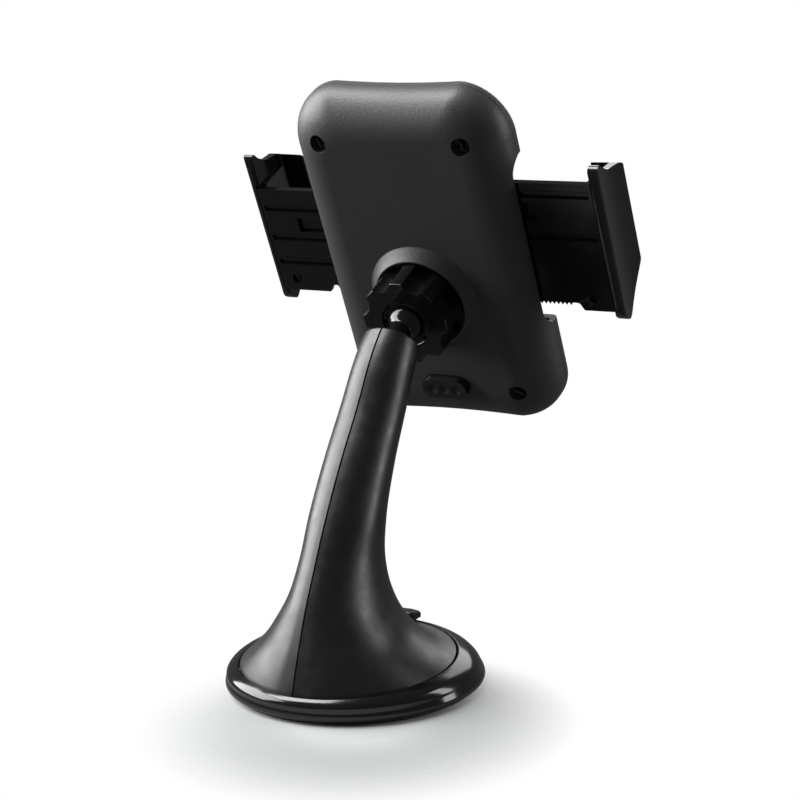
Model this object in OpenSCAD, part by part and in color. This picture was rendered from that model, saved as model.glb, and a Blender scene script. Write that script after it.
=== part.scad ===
/* [Base] */
// Diameter of the suction cup
cup_d = 80; // [70:1:100]
// How far the base ring stands out past the cup
ring_overhang = 1.8; // [1:0.1:4]
// Height of the base ring's top edge above the suction face
ring_h = 10.1; // [9:0.1:14]
// Width of the ring's sloping band, from its widest line to the arm's foot
band_w = 7.2; // [5:0.1:10]
// How far the arm's foot sits behind the middle of the cup
foot_back = 4.3; // [0:0.1:6]
// Tilt of the ring's top edge, lower at the back
foot_tilt = 3.5; // [0:0.5:6]
// Thickness of the base plate
plate_t = 2; // [1.5:0.1:3]
// Diameter of the stud that pulls the cup
stud_d = 8; // [6:0.5:10]
// How far the lever lifts the middle of the cup
cup_lift = 1.6; // [1:0.1:2.5]
// Smallest radius of the lever's cam
cam_r = 4.6; // [4:0.1:6]
// Angle the lever swings up to let go
lever_swing = 45; // [20:1:50]
// Width of the lever's bar
lever_w = 8; // [6:0.5:10]
// Width of the lever's paddle
paddle_w = 15; // [10:0.5:20]
// How far the paddle's end stays inside the radius of the arm's foot
paddle_short = 1.6; // [0:0.1:5]
// Diameter of the lever's pin
pin_d = 2.6; // [2:0.1:4]

/* [Arm] */
// Rise from the ring's top edge to the top of the arm
arm_rise = 100; // [80:1:140]
// How far the ball stands forward of the cup's middle
ball_forward = 43; // [30:1:60]
// Width of the arm at its slim part
arm_w = 23.6; // [20:0.1:30]
// Wall of the arm's half shells
arm_wall = 2.4; // [1.8:0.1:3.5]

/* [Swivel joint] */
// Diameter of the ball
ball_d = 13; // [11:0.1:15]
// Diameter of the ball's neck
neck_d = 7; // [5:0.1:8]
// Distance from the cradle's back to the ball's centre
ball_out = 13.6; // [12.5:0.1:18]
// Diameter of the socket's threaded barrel
barrel_d = 19.6; // [18:0.1:24]
// Diameter of the lock nut over its lobes
nut_d = 31; // [28:0.5:36]
// Depth of the hollows between the lobes
lobe_depth = 2.4; // [1:0.1:3]
// Number of lobes on the nut
lobes = 8; // [5:1:12]
// Clearance around the nut inside the boss ring
boss_gap = 0.35; // [0.3:0.05:1]
// Width of the boss ring's sloping rim
boss_rim = 3.9; // [3:0.1:5]
// Height of the boss ring
boss_h = 4.1; // [3:0.1:6]

/* [Cradle] */
// Width of the cradle body
body_w = 77; // [70:1:100]
// Height of the cradle body
body_h = 125.5; // [115:0.5:170]
// Depth of the cradle body
body_t = 17; // [16.8:0.1:22]
// Corner radius of the body's outline
corner_r = 16; // [12:0.5:22]
// Bow of the body's top and bottom edges
body_crown = 2.2; // [0:0.1:4]
// Reach of the rounded shoulder around the back
shoulder = 14; // [8:0.5:16]
// Wall of the shells
shell_wall = 2.2; // [1.6:0.1:3]
// How far the ball joint sits below the middle of the body
joint_drop = 10; // [8:0.5:16]
// Lean of the cradle, top towards the arm
lean = 23.6; // [0:0.1:40]

/* [Clamps] */
// Half the outside span of the open clamps
jaw_reach = 65.7; // [60:0.1:80]
// How far the clamps sit above the middle of the body
clamp_rise = 5; // [0:0.5:8]
// Height of the jaws
jaw_h = 58.8; // [52:0.1:70]
// Depth of the jaws, from their back edge to the front lip
jaw_t = 26.2; // [22:0.1:34]
// Wall of the jaws
jaw_wall = 2.4; // [1.8:0.1:3.5]
// How far the front lips reach in
lip = 11; // [3:0.5:14]
// Thickness of a sliding plate
slide_t = 2; // [1.6:0.1:3]
// Depth of the guide grooves in the plates
groove_t = 0.9; // [0.4:0.1:1.2]
// Pitch of the ratchet teeth
tooth_pitch = 1.5; // [1:0.1:2.5]
// Teeth on the pinion that ties the clamps together
pinion_teeth = 12; // [10:1:16]
// Module of the pinion, its pitch diameter over its teeth
gear_module = 1; // [0.8:0.1:1.2]

/* [Small parts] */
// Length of the release button's face
button_l = 16.5; // [12:0.5:22]
// Height of the release button's face
button_h = 7.4; // [6:0.2:10]
// How far the release button stands out
button_out = 3; // [2:0.1:5]
// How far the release button presses in
button_travel = 1.5; // [0.8:0.1:2]
// Diameter of the shell screws' heads
head_d = 3.3; // [3:0.1:4.5]
// Diameter of the heads of the screws that hold the shells together
shell_head_d = 5.2; // [4:0.1:6]
// Thread diameter of the small screws
screw_d = 2; // [1.6:0.1:2.6]
// Running clearance between a shaft and its hole
run = 0.08; // [0.05:0.01:0.1]
// Sliding clearance between pieces
gap = 0.3; // [0.2:0.05:0.4]

/* [Hidden] */
$fn = 64;
eps = 0.01;

// Base, stacked up from the suction face
rim_t = 1;
cup_t = 3.2;
flange_t = 1.4;
flange_r = 12;
plate_z = cup_t + flange_t + 0.4;
plate_top = plate_z + plate_t;
hub_wall = 1.6;
spring_r = stud_d / 2 + 2.1;
hub_r = spring_r + 3.2;
hub_top = 10.4;
pin_z = hub_top + cam_r + cup_lift + 0.1;
stud_top = pin_z + pin_d / 2 + 2;
ring_r = cup_d / 2 + ring_overhang;
foot_r = ring_r - band_w;
paddle_reach = foot_r - paddle_short;
bore_r = foot_r + 1.6;
fork_t = 3;
fork_w = stud_d + 2 * gap + 2 * fork_t;
slot_w = lever_w + 1;

// Arm: height share, half width, centre and half depth along the rise
foot_z = ring_h;
top_z = foot_z + arm_rise;
arm_stations = [
    [0.00, 34.6, 4.3, 34.6], [0.04, 29.3, 6.3, 30.4], [0.09, 23.6, 8.0, 26.7],
    [0.15, 19.0, 8.5, 23.5], [0.22, 14.9, 7.6, 21.1], [0.32, 12.4, 5.5, 17.6],
    [0.45, 11.8, 1.2, 14.3], [0.60, 11.2, -6.8, 12.3], [0.78, 10.5, -18.8, 10.9]];
station_foot = 34.6;
station_back = 4.3;
station_forward = 43;
station_w = 23.6;
blend_end = 0.32;
pin_shares = [0.36, 0.56];

// Swivel joint, measured outwards from the cradle's back
ball_r = ball_d / 2;
liner_t = 0.8;
liner_r = ball_r + run / 2;
socket_r = liner_r + liner_t + run / 2;
mouth_out = ball_out + 1.6;
barrel_r = barrel_d / 2;
nut_face = ball_out + 2.4;
nut_back = 2.4;
socket_foot_r = 15.5;
socket_screw_r = 12.8;

// Cradle, measured from the back of the body towards the phone
half_w = body_w / 2;
half_h = body_h / 2;
mid_u = joint_drop;
split_d = 13.2;
joint_z = top_z + 0.7;
cradle_y = -ball_forward - ball_out * cos(lean);
cradle_z = joint_z + ball_out * sin(lean);
boss_d = nut_d + 2 * boss_gap + 2 * boss_rim;
screw_x = half_w - 12.6;
screw_u = half_h - 15.5;

// Clamps: the left plate runs behind the right plate
back_layer = 9.6;
front_layer = back_layer + slide_t + gap;
layers_end = front_layer + slide_t;
travel = jaw_reach - jaw_wall - half_w + 0.2;
jaw_u = mid_u + clamp_rise;
jaw_back = 6;
jaw_front = jaw_back + jaw_t;
jaw_bottom = jaw_u - jaw_h / 2;
jaw_top = jaw_u + jaw_h / 2;
jaw_inner = jaw_reach - jaw_wall - 0.9;
plate_end = jaw_reach - jaw_wall;
slot_d = 8.5;
slot_top = jaw_top + 3.4;
slot_bottom = jaw_bottom - 1;
slot_r = 6.2;
pitch_r = pinion_teeth * gear_module / 2;
addendum = 0.8 * gear_module;
dedendum = 1.05 * gear_module;
pinion_u = jaw_u + 6;
pinion_shaft_d = 3;
rack_gap = pitch_r + dedendum + 0.2;
left_top = pinion_u + 18.6;
right_top = pinion_u + 11.4;
tooth_h = 1;
tooth_tip = pinion_u - 27.2;
tooth_root = tooth_tip + tooth_h;
tooth_from = 4.5;
inner_end = 3;
pad_half = half_w - 11.5;

// Lock: the button's stem drives a ramp that draws the bar down, off the teeth
button_u = mid_u - half_h + 17.35;
stem_w = 5;
stem_tip = back_layer + 1.3;
ramp_play = 0.2;
bar_top = tooth_tip - 0.2;
bar_w = 26;
bar_h = 3;
shank_w = 12;
bar_foot = button_u - 3;
spring_seat = button_u - 10.8;
guide_t = 1.6;

// A closed skin through rings of equal point counts, each ring anticlockwise seen from the last
module skin(rings) {
    n = len(rings[0]);
    count = len(rings);
    points = [for (ring = rings) each ring];
    sides = [for (k = [0:count - 2], i = [0:n - 1]) let (j = (i + 1) % n)
        each [[k * n + i, (k + 1) * n + i, (k + 1) * n + j], [k * n + i, (k + 1) * n + j, k * n + j]]];
    bottom = [[for (i = [0:n - 1]) i]];
    top = [[for (i = [n - 1:-1:0]) (count - 1) * n + i]];
    polyhedron(points = points, faces = concat(bottom, sides, top), convexity = 4);
}

// A skin through elliptical sections [centre y, centre z, half width, half depth, tilt]
module loft(sections, n = 48) {
    skin([for (s = sections) [for (i = [0:n - 1]) let (a = 360 * i / n)
        [s[2] * cos(a), s[0] + s[3] * sin(a) * cos(s[4]), s[1] + s[3] * sin(a) * sin(s[4])]]]);
}

// Points of a rectangle with round corners
function round_rect(w, h, r, n = 8) = [
    for (q = [0:3], i = [0:n]) let (
        a = 90 * q + 90 * i / n,
        sx = (q == 0 || q == 3) ? 1 : -1,
        sy = (q < 2) ? 1 : -1)
    [sx * (w / 2 - r) + r * cos(a), sy * (h / 2 - r) + r * sin(a)]];

// Cradle space: x across, y up the cradle, z from its back towards the phone
module cradle() {
    translate([0, cradle_y, cradle_z]) rotate([90 - lean, 0, 0]) children();
}

// Joint space: z outwards from the cradle's back, along the ball's neck
module outward() {
    cradle() rotate([180, 0, 0]) children();
}

// One section of the arm at a share of its rise
function station_section(s, inset) = let (
    foot_scale = foot_r / station_foot,
    width_scale = arm_w / station_w,
    blend = min(1, s[0] / blend_end),
    scale_xy = foot_scale * (1 - blend) + width_scale * blend,
    lean_share = s[2] < 0 ? ball_forward / station_forward : 1,
    middle = s[2] * lean_share + (foot_back - station_back) * (1 - blend),
    tilt = s[0] < 0.01 ? -foot_tilt : 32 * pow(s[0], 1.5))
    [middle, foot_z + s[0] * arm_rise, s[1] * scale_xy - inset,
        s[3] * scale_xy * (1 - 0.14 * pow(s[0], 2)) - inset, tilt];

// Rounded nose at the arm's top end
function nose_sections(inset) = let (w = arm_w / station_w, f = ball_forward / station_forward) [
    [-25.0 * f, foot_z + 0.875 * arm_rise, 10.1 * w - inset, 9.4 * w - inset, 36],
    [-29.4 * f, foot_z + 0.932 * arm_rise, 9.75 * w - inset, 8.8 * w - inset, 41],
    [-31.0 * f, foot_z + 0.951 * arm_rise, 9.45 * w - inset, 8.45 * w - inset, 43],
    [-31.7 * f, foot_z + 0.959 * arm_rise, 8.7 * w - inset, 7.7 * w - inset, 44]];

arm_outer = concat(
    [[foot_back, plate_top, foot_r, foot_r, 0]],
    [for (s = arm_stations) station_section(s, 0)], nose_sections(0));
arm_inner = concat(
    [[foot_back, plate_top - 1, foot_r - arm_wall, foot_r - arm_wall, 0]],
    [for (s = arm_stations) if (s[0] < 0.7) station_section(s, arm_wall * (s[0] < 0.1 ? 1.25 : 1))]);

module suction_cup() {
    color("#1c1e1e")
    rotate_extrude($fn = 128) polygon([
        [0, 0], [cup_d / 2 - 0.6, 0], [cup_d / 2, 0.4], [cup_d / 2, rim_t],
        [bore_r - 0.2, rim_t], [bore_r - 1.4, cup_t], [0, cup_t]]);
}

// Stud that carries the lever's pin, with a flange bonded to the cup
module cup_stud() {
    color("#3a3c3d")
    difference() {
        union() {
            translate([0, 0, cup_t]) cylinder(r = flange_r, h = flange_t);
            translate([0, 0, cup_t + flange_t - eps])
                cylinder(d = stud_d, h = stud_top - cup_t - flange_t + eps);
        }
        translate([0, 0, pin_z]) rotate([0, 90, 0]) cylinder(d = pin_d, h = stud_d + 2, center = true);
    }
}

// Coil of round wire, closed at both ends
module coil(radius, wire_r, height, turns, sides = 6, steps = 16) {
    last = turns * steps;
    points = [for (k = [0:last], i = [0:sides - 1]) let (a = 360 * k / steps, b = 360 * i / sides)
        [(radius + wire_r * cos(b)) * cos(a), (radius + wire_r * cos(b)) * sin(a),
         wire_r + (height - 2 * wire_r) * k / last + wire_r * sin(b)]];
    skin = [for (k = [0:last - 1], i = [0:sides - 1]) let (j = (i + 1) % sides)
        each [[k * sides + i, (k + 1) * sides + i, (k + 1) * sides + j],
              [k * sides + i, (k + 1) * sides + j, k * sides + j]]];
    start = [[for (i = [0:sides - 1]) i]];
    end = [[for (i = [sides - 1:-1:0]) last * sides + i]];
    polyhedron(points = points, faces = concat(start, skin, end), convexity = 8);
}

module return_spring() {
    spring_h = hub_top - hub_wall - cup_t - flange_t;
    color("#9a9c9c")
    translate([0, 0, cup_t + flange_t]) coil(spring_r, 0.45, spring_h, 4);
}

module base_ring() {
    color("#101112")
    difference() {
        loft([
            [0, rim_t, ring_r - 1.1, ring_r - 1.1, 0], [0, rim_t + 0.5, ring_r - 0.3, ring_r - 0.3, 0],
            [0, rim_t + 1.4, ring_r, ring_r, 0],
            [0.4, 0.45 * ring_h, ring_r - 0.2, ring_r - 0.2, -0.5],
            [foot_back * 0.4, 0.7 * ring_h, ring_r - band_w * 0.2, ring_r - band_w * 0.2, -foot_tilt * 0.5],
            [foot_back * 0.7, 0.88 * ring_h, ring_r - band_w * 0.48, ring_r - band_w * 0.48,
                -foot_tilt * 0.8],
            [foot_back, ring_h, foot_r + 1.1, foot_r + 1.1, -foot_tilt]], 96);
        translate([0, 0, -1]) cylinder(r = bore_r, h = plate_top + 1, $fn = 128);
        translate([0, foot_back, plate_top]) cylinder(r = foot_r + 0.1, h = ring_h * 2, $fn = 128);
    }
}

// Places of the screws that hold the arm's foot
screw_places = [for (sx = [-1, 1], sy = [-1, 1]) [sx * foot_r * 0.56, foot_back + sy * foot_r * 0.5]];

module base_plate() {
    color("#2a2c2d")
    difference() {
        union() {
            translate([0, 0, plate_z]) cylinder(r = bore_r - 0.05, h = plate_t, $fn = 128);
            translate([0, 0, plate_z]) cylinder(r = hub_r, h = hub_top - plate_z);
            translate([0, 0, cup_t]) difference() {
                cylinder(r = bore_r - 1.8, h = plate_z - cup_t + eps, $fn = 128);
                translate([0, 0, -1]) cylinder(r = bore_r - 4.4, h = plate_z + 1, $fn = 128);
            }
        }
        translate([0, 0, plate_z - 1]) cylinder(r = hub_r - hub_wall, h = hub_top - hub_wall - plate_z + 1);
        cylinder(d = stud_d + 2 * run, h = 2 * hub_top);
        for (p = screw_places) translate([p[0], p[1], plate_z - 1]) {
            cylinder(d = screw_d + 0.4, h = plate_t + 2);
            cylinder(d = head_d + 0.8, h = 2);
        }
    }
}

module base_screws() {
    color("#8c8e90")
    for (p = screw_places) translate([p[0], p[1], plate_z + 0.1]) difference() {
        union() {
            cylinder(d = head_d + 0.4, h = 0.9);
            cylinder(d = screw_d, h = 6.4);
        }
        for (a = [0, 90]) rotate([0, 0, a]) translate([0, 0, 0.2]) cube([2, 0.5, 0.8], center = true);
    }
}

// Outline of the cam: the height of the pin above the hub grows evenly as the lever folds down
function cam_outline() = let (slope = cup_lift / (lever_swing * PI / 180)) concat(
    [for (a = [-115 - lever_swing:5:-90 - lever_swing]) [cam_r * cos(a), cam_r * sin(a)]],
    [for (i = [0:9]) let (a = -90 - lever_swing * (1 - i / 9), h = cam_r + cup_lift * i / 9)
        [h * cos(a) - slope * sin(a), h * sin(a) + slope * cos(a)]],
    [for (a = [-60:10:240 - lever_swing]) let (r = max(cam_r * 0.8, cam_r + cup_lift - (a + 90) * 0.05))
        [r * cos(a), r * sin(a)]]);

module suction_lever() {
    color("#141516")
    translate([0, 0, pin_z]) difference() {
        union() {
            for (sx = [-1, 1]) translate([sx * (stud_d / 2 + gap + fork_t / 2), 0, 0]) rotate([90, 0, -90])
                linear_extrude(fork_t, center = true) polygon(cam_outline());
            translate([-fork_w / 2, -stud_d / 2 - 4.2, -1]) cube([fork_w, 2.6, 3.4]);
            for (sx = [-1, 1]) translate([sx * (fork_w - fork_t) / 2 - fork_t / 2, -stud_d / 2 - 4.2, -1])
                cube([fork_t, stud_d / 2 + 4.2, 3.4]);
            hull() {
                translate([-lever_w / 2, -stud_d / 2 - 4, -1]) cube([lever_w, 1, 3]);
                translate([-lever_w / 2, -paddle_reach + 9.5, -1.5]) cube([lever_w, 1, 2.6]);
            }
            hull() {
                translate([-lever_w / 2, -paddle_reach + 10, -1.5]) cube([lever_w, 0.5, 2.6]);
                translate([-paddle_w / 2 + 1, -paddle_reach + 8, -1.9]) cube([paddle_w - 2, 0.5, 1.6]);
                translate([-lever_w / 2, -paddle_reach + 1, -3.2]) cube([lever_w, 7, 2]);
                translate([-paddle_w / 2 + 1.5, -paddle_reach, -3.6]) cube([paddle_w - 3, 1.4, 1.7]);
                translate([-paddle_w / 2, -paddle_reach + 1.4, -3.4]) cube([paddle_w, 4, 1.4]);
            }
        }
        rotate([0, 90, 0]) cylinder(d = pin_d + 2 * run, h = fork_w + 2, center = true);
    }
}

module lever_pin() {
    color("#b0b2b4")
    translate([0, 0, pin_z]) rotate([0, 90, 0]) cylinder(d = pin_d, h = fork_w - 0.4, center = true);
}

// The ball's stem inside the arm: collar, shank and end flange
collar_r = neck_d / 2 + 0.9;
stem_profile = [[0, 0], [neck_d / 2, 0], [neck_d / 2, 15], [collar_r, 15], [collar_r, 17], [neck_d / 2, 17],
                [neck_d / 2, 19.2], [collar_r, 19.2], [collar_r, 21.2], [0, 21.2]];

module stem() {
    translate([0, 0, ball_out]) rotate_extrude() polygon(stem_profile);
}

module lever_slot() {
    translate([-slot_w / 2, -foot_r * 2, pin_z - 4.2])
        cube([slot_w, foot_r * 2 - stud_d / 2 - 3, 5 + 26 * sin(lever_swing)]);
}

module arm_half(side) {
    difference() {
        union() {
            difference() {
                loft(arm_outer);
                loft(arm_inner);
            }
            for (p = screw_places) translate([p[0], p[1], plate_top]) cylinder(d = 5.4, h = 7);
            for (s = pin_shares) peg_post(s);
        }
        translate([side > 0 ? -200 : 0, -200, -10]) cube([200, 400, 400]);
        lever_slot();
        outward() stem();
        for (p = screw_places) translate([p[0], p[1], 0]) cylinder(d = screw_d, h = plate_top + 5.8);
        if (side > 0) for (s = pin_shares) peg(s, 0.05);
    }
    if (side < 0) for (s = pin_shares) peg(s, 0);
}

// Middle of the arm at a share of its rise, for the pegs that line up the halves
function arm_middle(share) = lookup(share, [for (s = arm_stations) [s[0], station_section(s, 0)[0]]]);

module peg_post(share) {
    translate([0, arm_middle(share), foot_z + share * arm_rise]) rotate([0, 90, 0])
        cylinder(d = 6, h = arm_w - 2, center = true);
}

module peg(share, grow) {
    translate([grow == 0 ? -2 : -1, arm_middle(share), foot_z + share * arm_rise]) rotate([0, 90, 0])
        cylinder(d = 3 + 2 * grow, h = 5 + 2 * grow);
}

module arm_shell_left() {
    color("#26282a") arm_half(-1);
}

module arm_shell_right() {
    color("#26282a") arm_half(1);
}

module ball_stud() {
    color("#2e3032")
    outward() {
        stem();
        translate([0, 0, ball_out]) sphere(r = ball_r);
    }
}

// Shell between two spheres about the ball's centre, cut by two planes
module ball_shell(r_in, r_out, low, high) {
    translate([0, 0, ball_out]) intersection() {
        difference() {
            sphere(r = r_out);
            sphere(r = r_in);
        }
        translate([0, 0, low]) cylinder(r = r_out + 1, h = high - low);
    }
}

module ball_liner() {
    color("#55585a") outward() ball_shell(liner_r, liner_r + liner_t, -2, 1.2);
}

// Friction pad that bears on the back of the ball
module friction_pad() {
    color("#6a6c6e")
    outward() difference() {
        translate([0, 0, ball_out - socket_r]) cylinder(r = 2.6, h = 2.4);
        translate([0, 0, ball_out]) sphere(r = liner_r);
    }
}

module ball_socket() {
    slot_cut = 1.2;
    color("#1b1d1e")
    outward() difference() {
        union() {
            translate([0, 0, -shell_wall - 2]) cylinder(r = socket_foot_r, h = 2);
            translate([0, 0, -shell_wall - eps]) cylinder(r = barrel_r, h = mouth_out - 2 + shell_wall);
            translate([0, 0, mouth_out - 2 - eps]) cylinder(r1 = barrel_r, r2 = barrel_r - 1.6, h = 2 + eps);
        }
        translate([0, 0, ball_out]) sphere(r = socket_r);
        translate([0, 0, ball_out - socket_r - 1]) cylinder(r = 2.7, h = 4);
        for (a = [0, 45, 90, 135]) rotate([0, 0, a])
            translate([-barrel_r - 1, -slot_cut / 2, 5]) cube([2 * barrel_r + 2, slot_cut, mouth_out]);
        for (a = [45:90:315]) rotate([0, 0, a]) translate([socket_screw_r, 0, -shell_wall - 3])
            cylinder(d = screw_d + 0.3, h = 4);
    }
}

module socket_screws() {
    color("#8c8e90")
    outward() for (a = [45:90:315]) rotate([0, 0, a])
        translate([socket_screw_r, 0, -shell_wall - 2]) difference() {
        union() {
            translate([0, 0, -1.2]) cylinder(d = head_d, h = 1.2);
            translate([0, 0, -eps]) cylinder(d = screw_d, h = 3.6);
        }
        for (b = [0, 90]) rotate([0, 0, b]) translate([0, 0, -1]) cube([2, 0.5, 1.2], center = true);
    }
}

// Outline of the nut: round lobes with hollows between them
function nut_outline(grow = 0) = [for (i = [0:143]) let (
    a = 360 * i / 144,
    wave = cos(lobes * a),
    r = nut_d / 2 - lobe_depth * pow((1 - wave) / 2, 0.85) + grow)
    [r * cos(a), r * sin(a)]];

module lock_nut() {
    color("#15161a")
    outward() difference() {
        union() {
            translate([0, 0, nut_back + 1]) linear_extrude(nut_face - nut_back - 1.6) polygon(nut_outline());
            translate([0, 0, nut_back]) linear_extrude(1.1) polygon(nut_outline(-0.6));
            translate([0, 0, nut_face - 0.7]) linear_extrude(0.7) polygon(nut_outline(-0.5));
        }
        translate([0, 0, nut_back - 1]) cylinder(r = barrel_r + run, h = mouth_out - 2 - nut_back + 1.1);
        translate([0, 0, mouth_out - 2]) cylinder(r1 = barrel_r + run, r2 = barrel_r - 1.6 + run, h = 2);
        cylinder(r = barrel_r - 1.6 + run, h = 2 * nut_face);
    }
}

// Ring of the body form at a depth: the outline drawn in by the rounded shoulder
function form_ring(inset, angle, depth) = let (side = inset + shoulder * (1 - sin(angle)))
    [for (p = round_rect(body_w - 2 * side, body_h - 2 * side, max(corner_r - 0.45 * side, 5), 8))
        [p[0], mid_u + p[1] - sign(p[1]) * body_crown * (pow(p[0] / half_w, 2) - 0.35), depth]];

// Body form of the cradle: a rounded outline whose back edge rolls over into the shoulder
module body_form(inset, back_d, front_d) {
    roll = split_d - 0.6;
    skin(concat([for (a = [0:10:90]) form_ring(inset, a, back_d + (roll - inset) * (1 - cos(a)))],
        [form_ring(inset, 90, front_d)]));
}

// Space at the body's side that a clamp slides through
module clamp_slot(side) {
    reach = half_w - pad_half + 20;
    slot_h = slot_top - slot_bottom;
    translate([side * (pad_half + reach / 2), (slot_top + slot_bottom) / 2, 0])
    rotate([90, 0, 90]) translate([0, 0, -reach / 2]) linear_extrude(reach) polygon(concat(
        [for (i = [0:6]) let (a = 270 - 15 * i)
            [-slot_h / 2 + slot_r + slot_r * cos(a), slot_d + slot_r + slot_r * sin(a)]],
        [[-slot_h / 2, body_t + 20], [slot_h / 2, body_t + 20]],
        [for (i = [0:6]) let (a = 360 - 15 * i)
            [slot_h / 2 - slot_r + slot_r * cos(a), slot_d + slot_r + slot_r * sin(a)]]));
}

// Places of the four shell screws
shell_screw_places = [for (sx = [-1, 1], sy = [-1, 1]) [sx * screw_x, mid_u + sy * screw_u]];

// Block standing on the inside of the rear shell, from x0 to x1 and u0 to u1, up to a depth
module rib(x0, x1, u0, u1, depth, from = 1.5) {
    translate([x0, u0, from]) cube([x1 - x0, u1 - u0, depth - from]);
}

// Rests for the plates, guides for the lock bar and the seat of its spring
module rear_ribs() {
    for (side = [0, 1]) mirror([side, 0, 0]) {
        rib(17, pad_half - 1, pinion_u - 14.5, pinion_u - 13, back_layer - gap);
        rib(17, pad_half - 1, pinion_u + 12.5, pinion_u + 14, back_layer - gap);
        rib(8, pad_half - 1, left_top + gap, left_top + gap + guide_t, front_layer - gap);
        rib(shank_w / 2 + gap, shank_w / 2 + gap + guide_t, button_u + 6, button_u + 15, split_d);
        rib(shank_w / 2 - 2.4, shank_w / 2 + gap + eps, button_u + 6, button_u + 15, back_layer - gap);
        rib(bar_w / 2 + gap, bar_w / 2 + gap + guide_t, bar_top - 7.6, bar_top - 2.4, split_d);
    }
    rib(-3.5, 3.5, spring_seat - guide_t, spring_seat, split_d, 5);
}

module rear_shell() {
    color("#3b3e3f")
    cradle() difference() {
        union() {
            difference() {
                body_form(0, 0, split_d);
                body_form(shell_wall, shell_wall, split_d + 1);
            }
            translate([0, 0, -boss_h])
                cylinder(r1 = boss_d / 2 - boss_rim + 0.6, r2 = boss_d / 2, h = boss_h, $fn = 96);
            for (p = shell_screw_places) translate([p[0], p[1], 2])
                cylinder(d = shell_head_d + 2.6, h = split_d - 2);
            translate([0, pinion_u, 1]) cylinder(r = 2.6, h = back_layer - 2.2 - 1);
            rear_ribs();
        }
        translate([0, 0, -boss_h - 1]) cylinder(r = boss_d / 2 - boss_rim, h = boss_h + 1 - 1, $fn = 96);
        translate([0, 0, -boss_h - 1]) cylinder(r = barrel_r + 0.1, h = boss_h + shell_wall + 2);
        for (a = [45:90:315]) rotate([0, 0, a])
            translate([socket_screw_r, 0, 0]) cylinder(d = screw_d, h = 5);
        for (p = shell_screw_places) {
            translate([p[0], p[1], -1]) cylinder(d = shell_head_d + 1, h = 4);
            translate([p[0], p[1], 0]) cylinder(d = screw_d + 0.3, h = split_d + 2);
        }
        translate([0, pinion_u, 2.4]) cylinder(d = screw_d, h = back_layer);
        translate([0, button_u, -1]) linear_extrude(shell_wall + 2)
            polygon(round_rect(button_l + 0.6, button_h + 0.6, button_h / 2 + 0.2));
        for (side = [-1, 1]) clamp_slot(side);
    }
}

module front_shell() {
    color("#303334")
    cradle() difference() {
        union() {
            difference() {
                body_form(0, 0, body_t);
                translate([-100, -200, -1]) cube([200, 400, split_d + 1]);
                translate([0, 0, -1]) body_form(shell_wall, shell_wall, body_t - shell_wall + 1);
            }
            for (p = shell_screw_places) translate([p[0], p[1], split_d])
                cylinder(d = 6, h = body_t - split_d - 1);
            for (sx = [-1, 1]) translate([sx * (shank_w / 2 - 1) - 1, button_u + 6, layers_end + gap])
                cube([2, 9, body_t - layers_end - gap - 1]);
            translate([8 - pad_half, right_top + gap, front_layer])
                cube([2 * pad_half - 16, guide_t, body_t - front_layer - 1]);
        }
        for (p = shell_screw_places) translate([p[0], p[1], split_d - 1]) cylinder(d = screw_d, h = 3);
        for (side = [-1, 1]) clamp_slot(side);
    }
}

module front_pad() {
    color("#1e2021")
    cradle() difference() {
        translate([0, mid_u, body_t]) linear_extrude(1.2)
            polygon(round_rect(2 * pad_half - 2, body_h - 16, 8));
        for (i = [-5:5]) translate([0, mid_u + i * 9, body_t + 1.6])
            cube([2 * pad_half - 12, 2, 1.8], center = true);
    }
}

module shell_screws() {
    color("#1a1b1c")
    cradle() for (p = shell_screw_places) translate([p[0], p[1], 3]) difference() {
        union() {
            translate([0, 0, -1.6]) cylinder(d = shell_head_d, h = 1.6);
            cylinder(d = screw_d, h = split_d - 1.4);
        }
        for (b = [0, 90]) rotate([0, 0, b]) translate([0, 0, -1.2])
            cube([shell_head_d * 0.6, 0.9, 1.4], center = true);
    }
}

// Straight rack teeth along x, pointing up from y = 0, with the tooth centres on whole pitches
module rack(from_x, to_x) {
    pitch = PI * gear_module;
    first = ceil(from_x / pitch + 0.5);
    last = floor(to_x / pitch - 0.5);
    for (k = [first:last]) translate([k * pitch, 0]) polygon([
        [-pitch * 0.38, -0.2], [-pitch * 0.30, 0.05], [-pitch * 0.10, dedendum + addendum - 0.2],
        [pitch * 0.10, dedendum + addendum - 0.2], [pitch * 0.30, 0.05], [pitch * 0.38, -0.2]]);
}

// Saw teeth along x, pointing down from y = 0
module ratchet(from_x, to_x) {
    count = floor((to_x - from_x) / tooth_pitch);
    polygon(concat([[from_x, 1], [from_x, 0]],
        [for (k = [0:count - 1]) each [
            [from_x + (k + 0.12) * tooth_pitch, 0], [from_x + (k + 0.42) * tooth_pitch, -tooth_h],
            [from_x + (k + 0.58) * tooth_pitch, -tooth_h], [from_x + (k + 0.88) * tooth_pitch, 0]]],
        [[from_x + count * tooth_pitch, 0], [from_x + count * tooth_pitch, 1]]));
}

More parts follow.
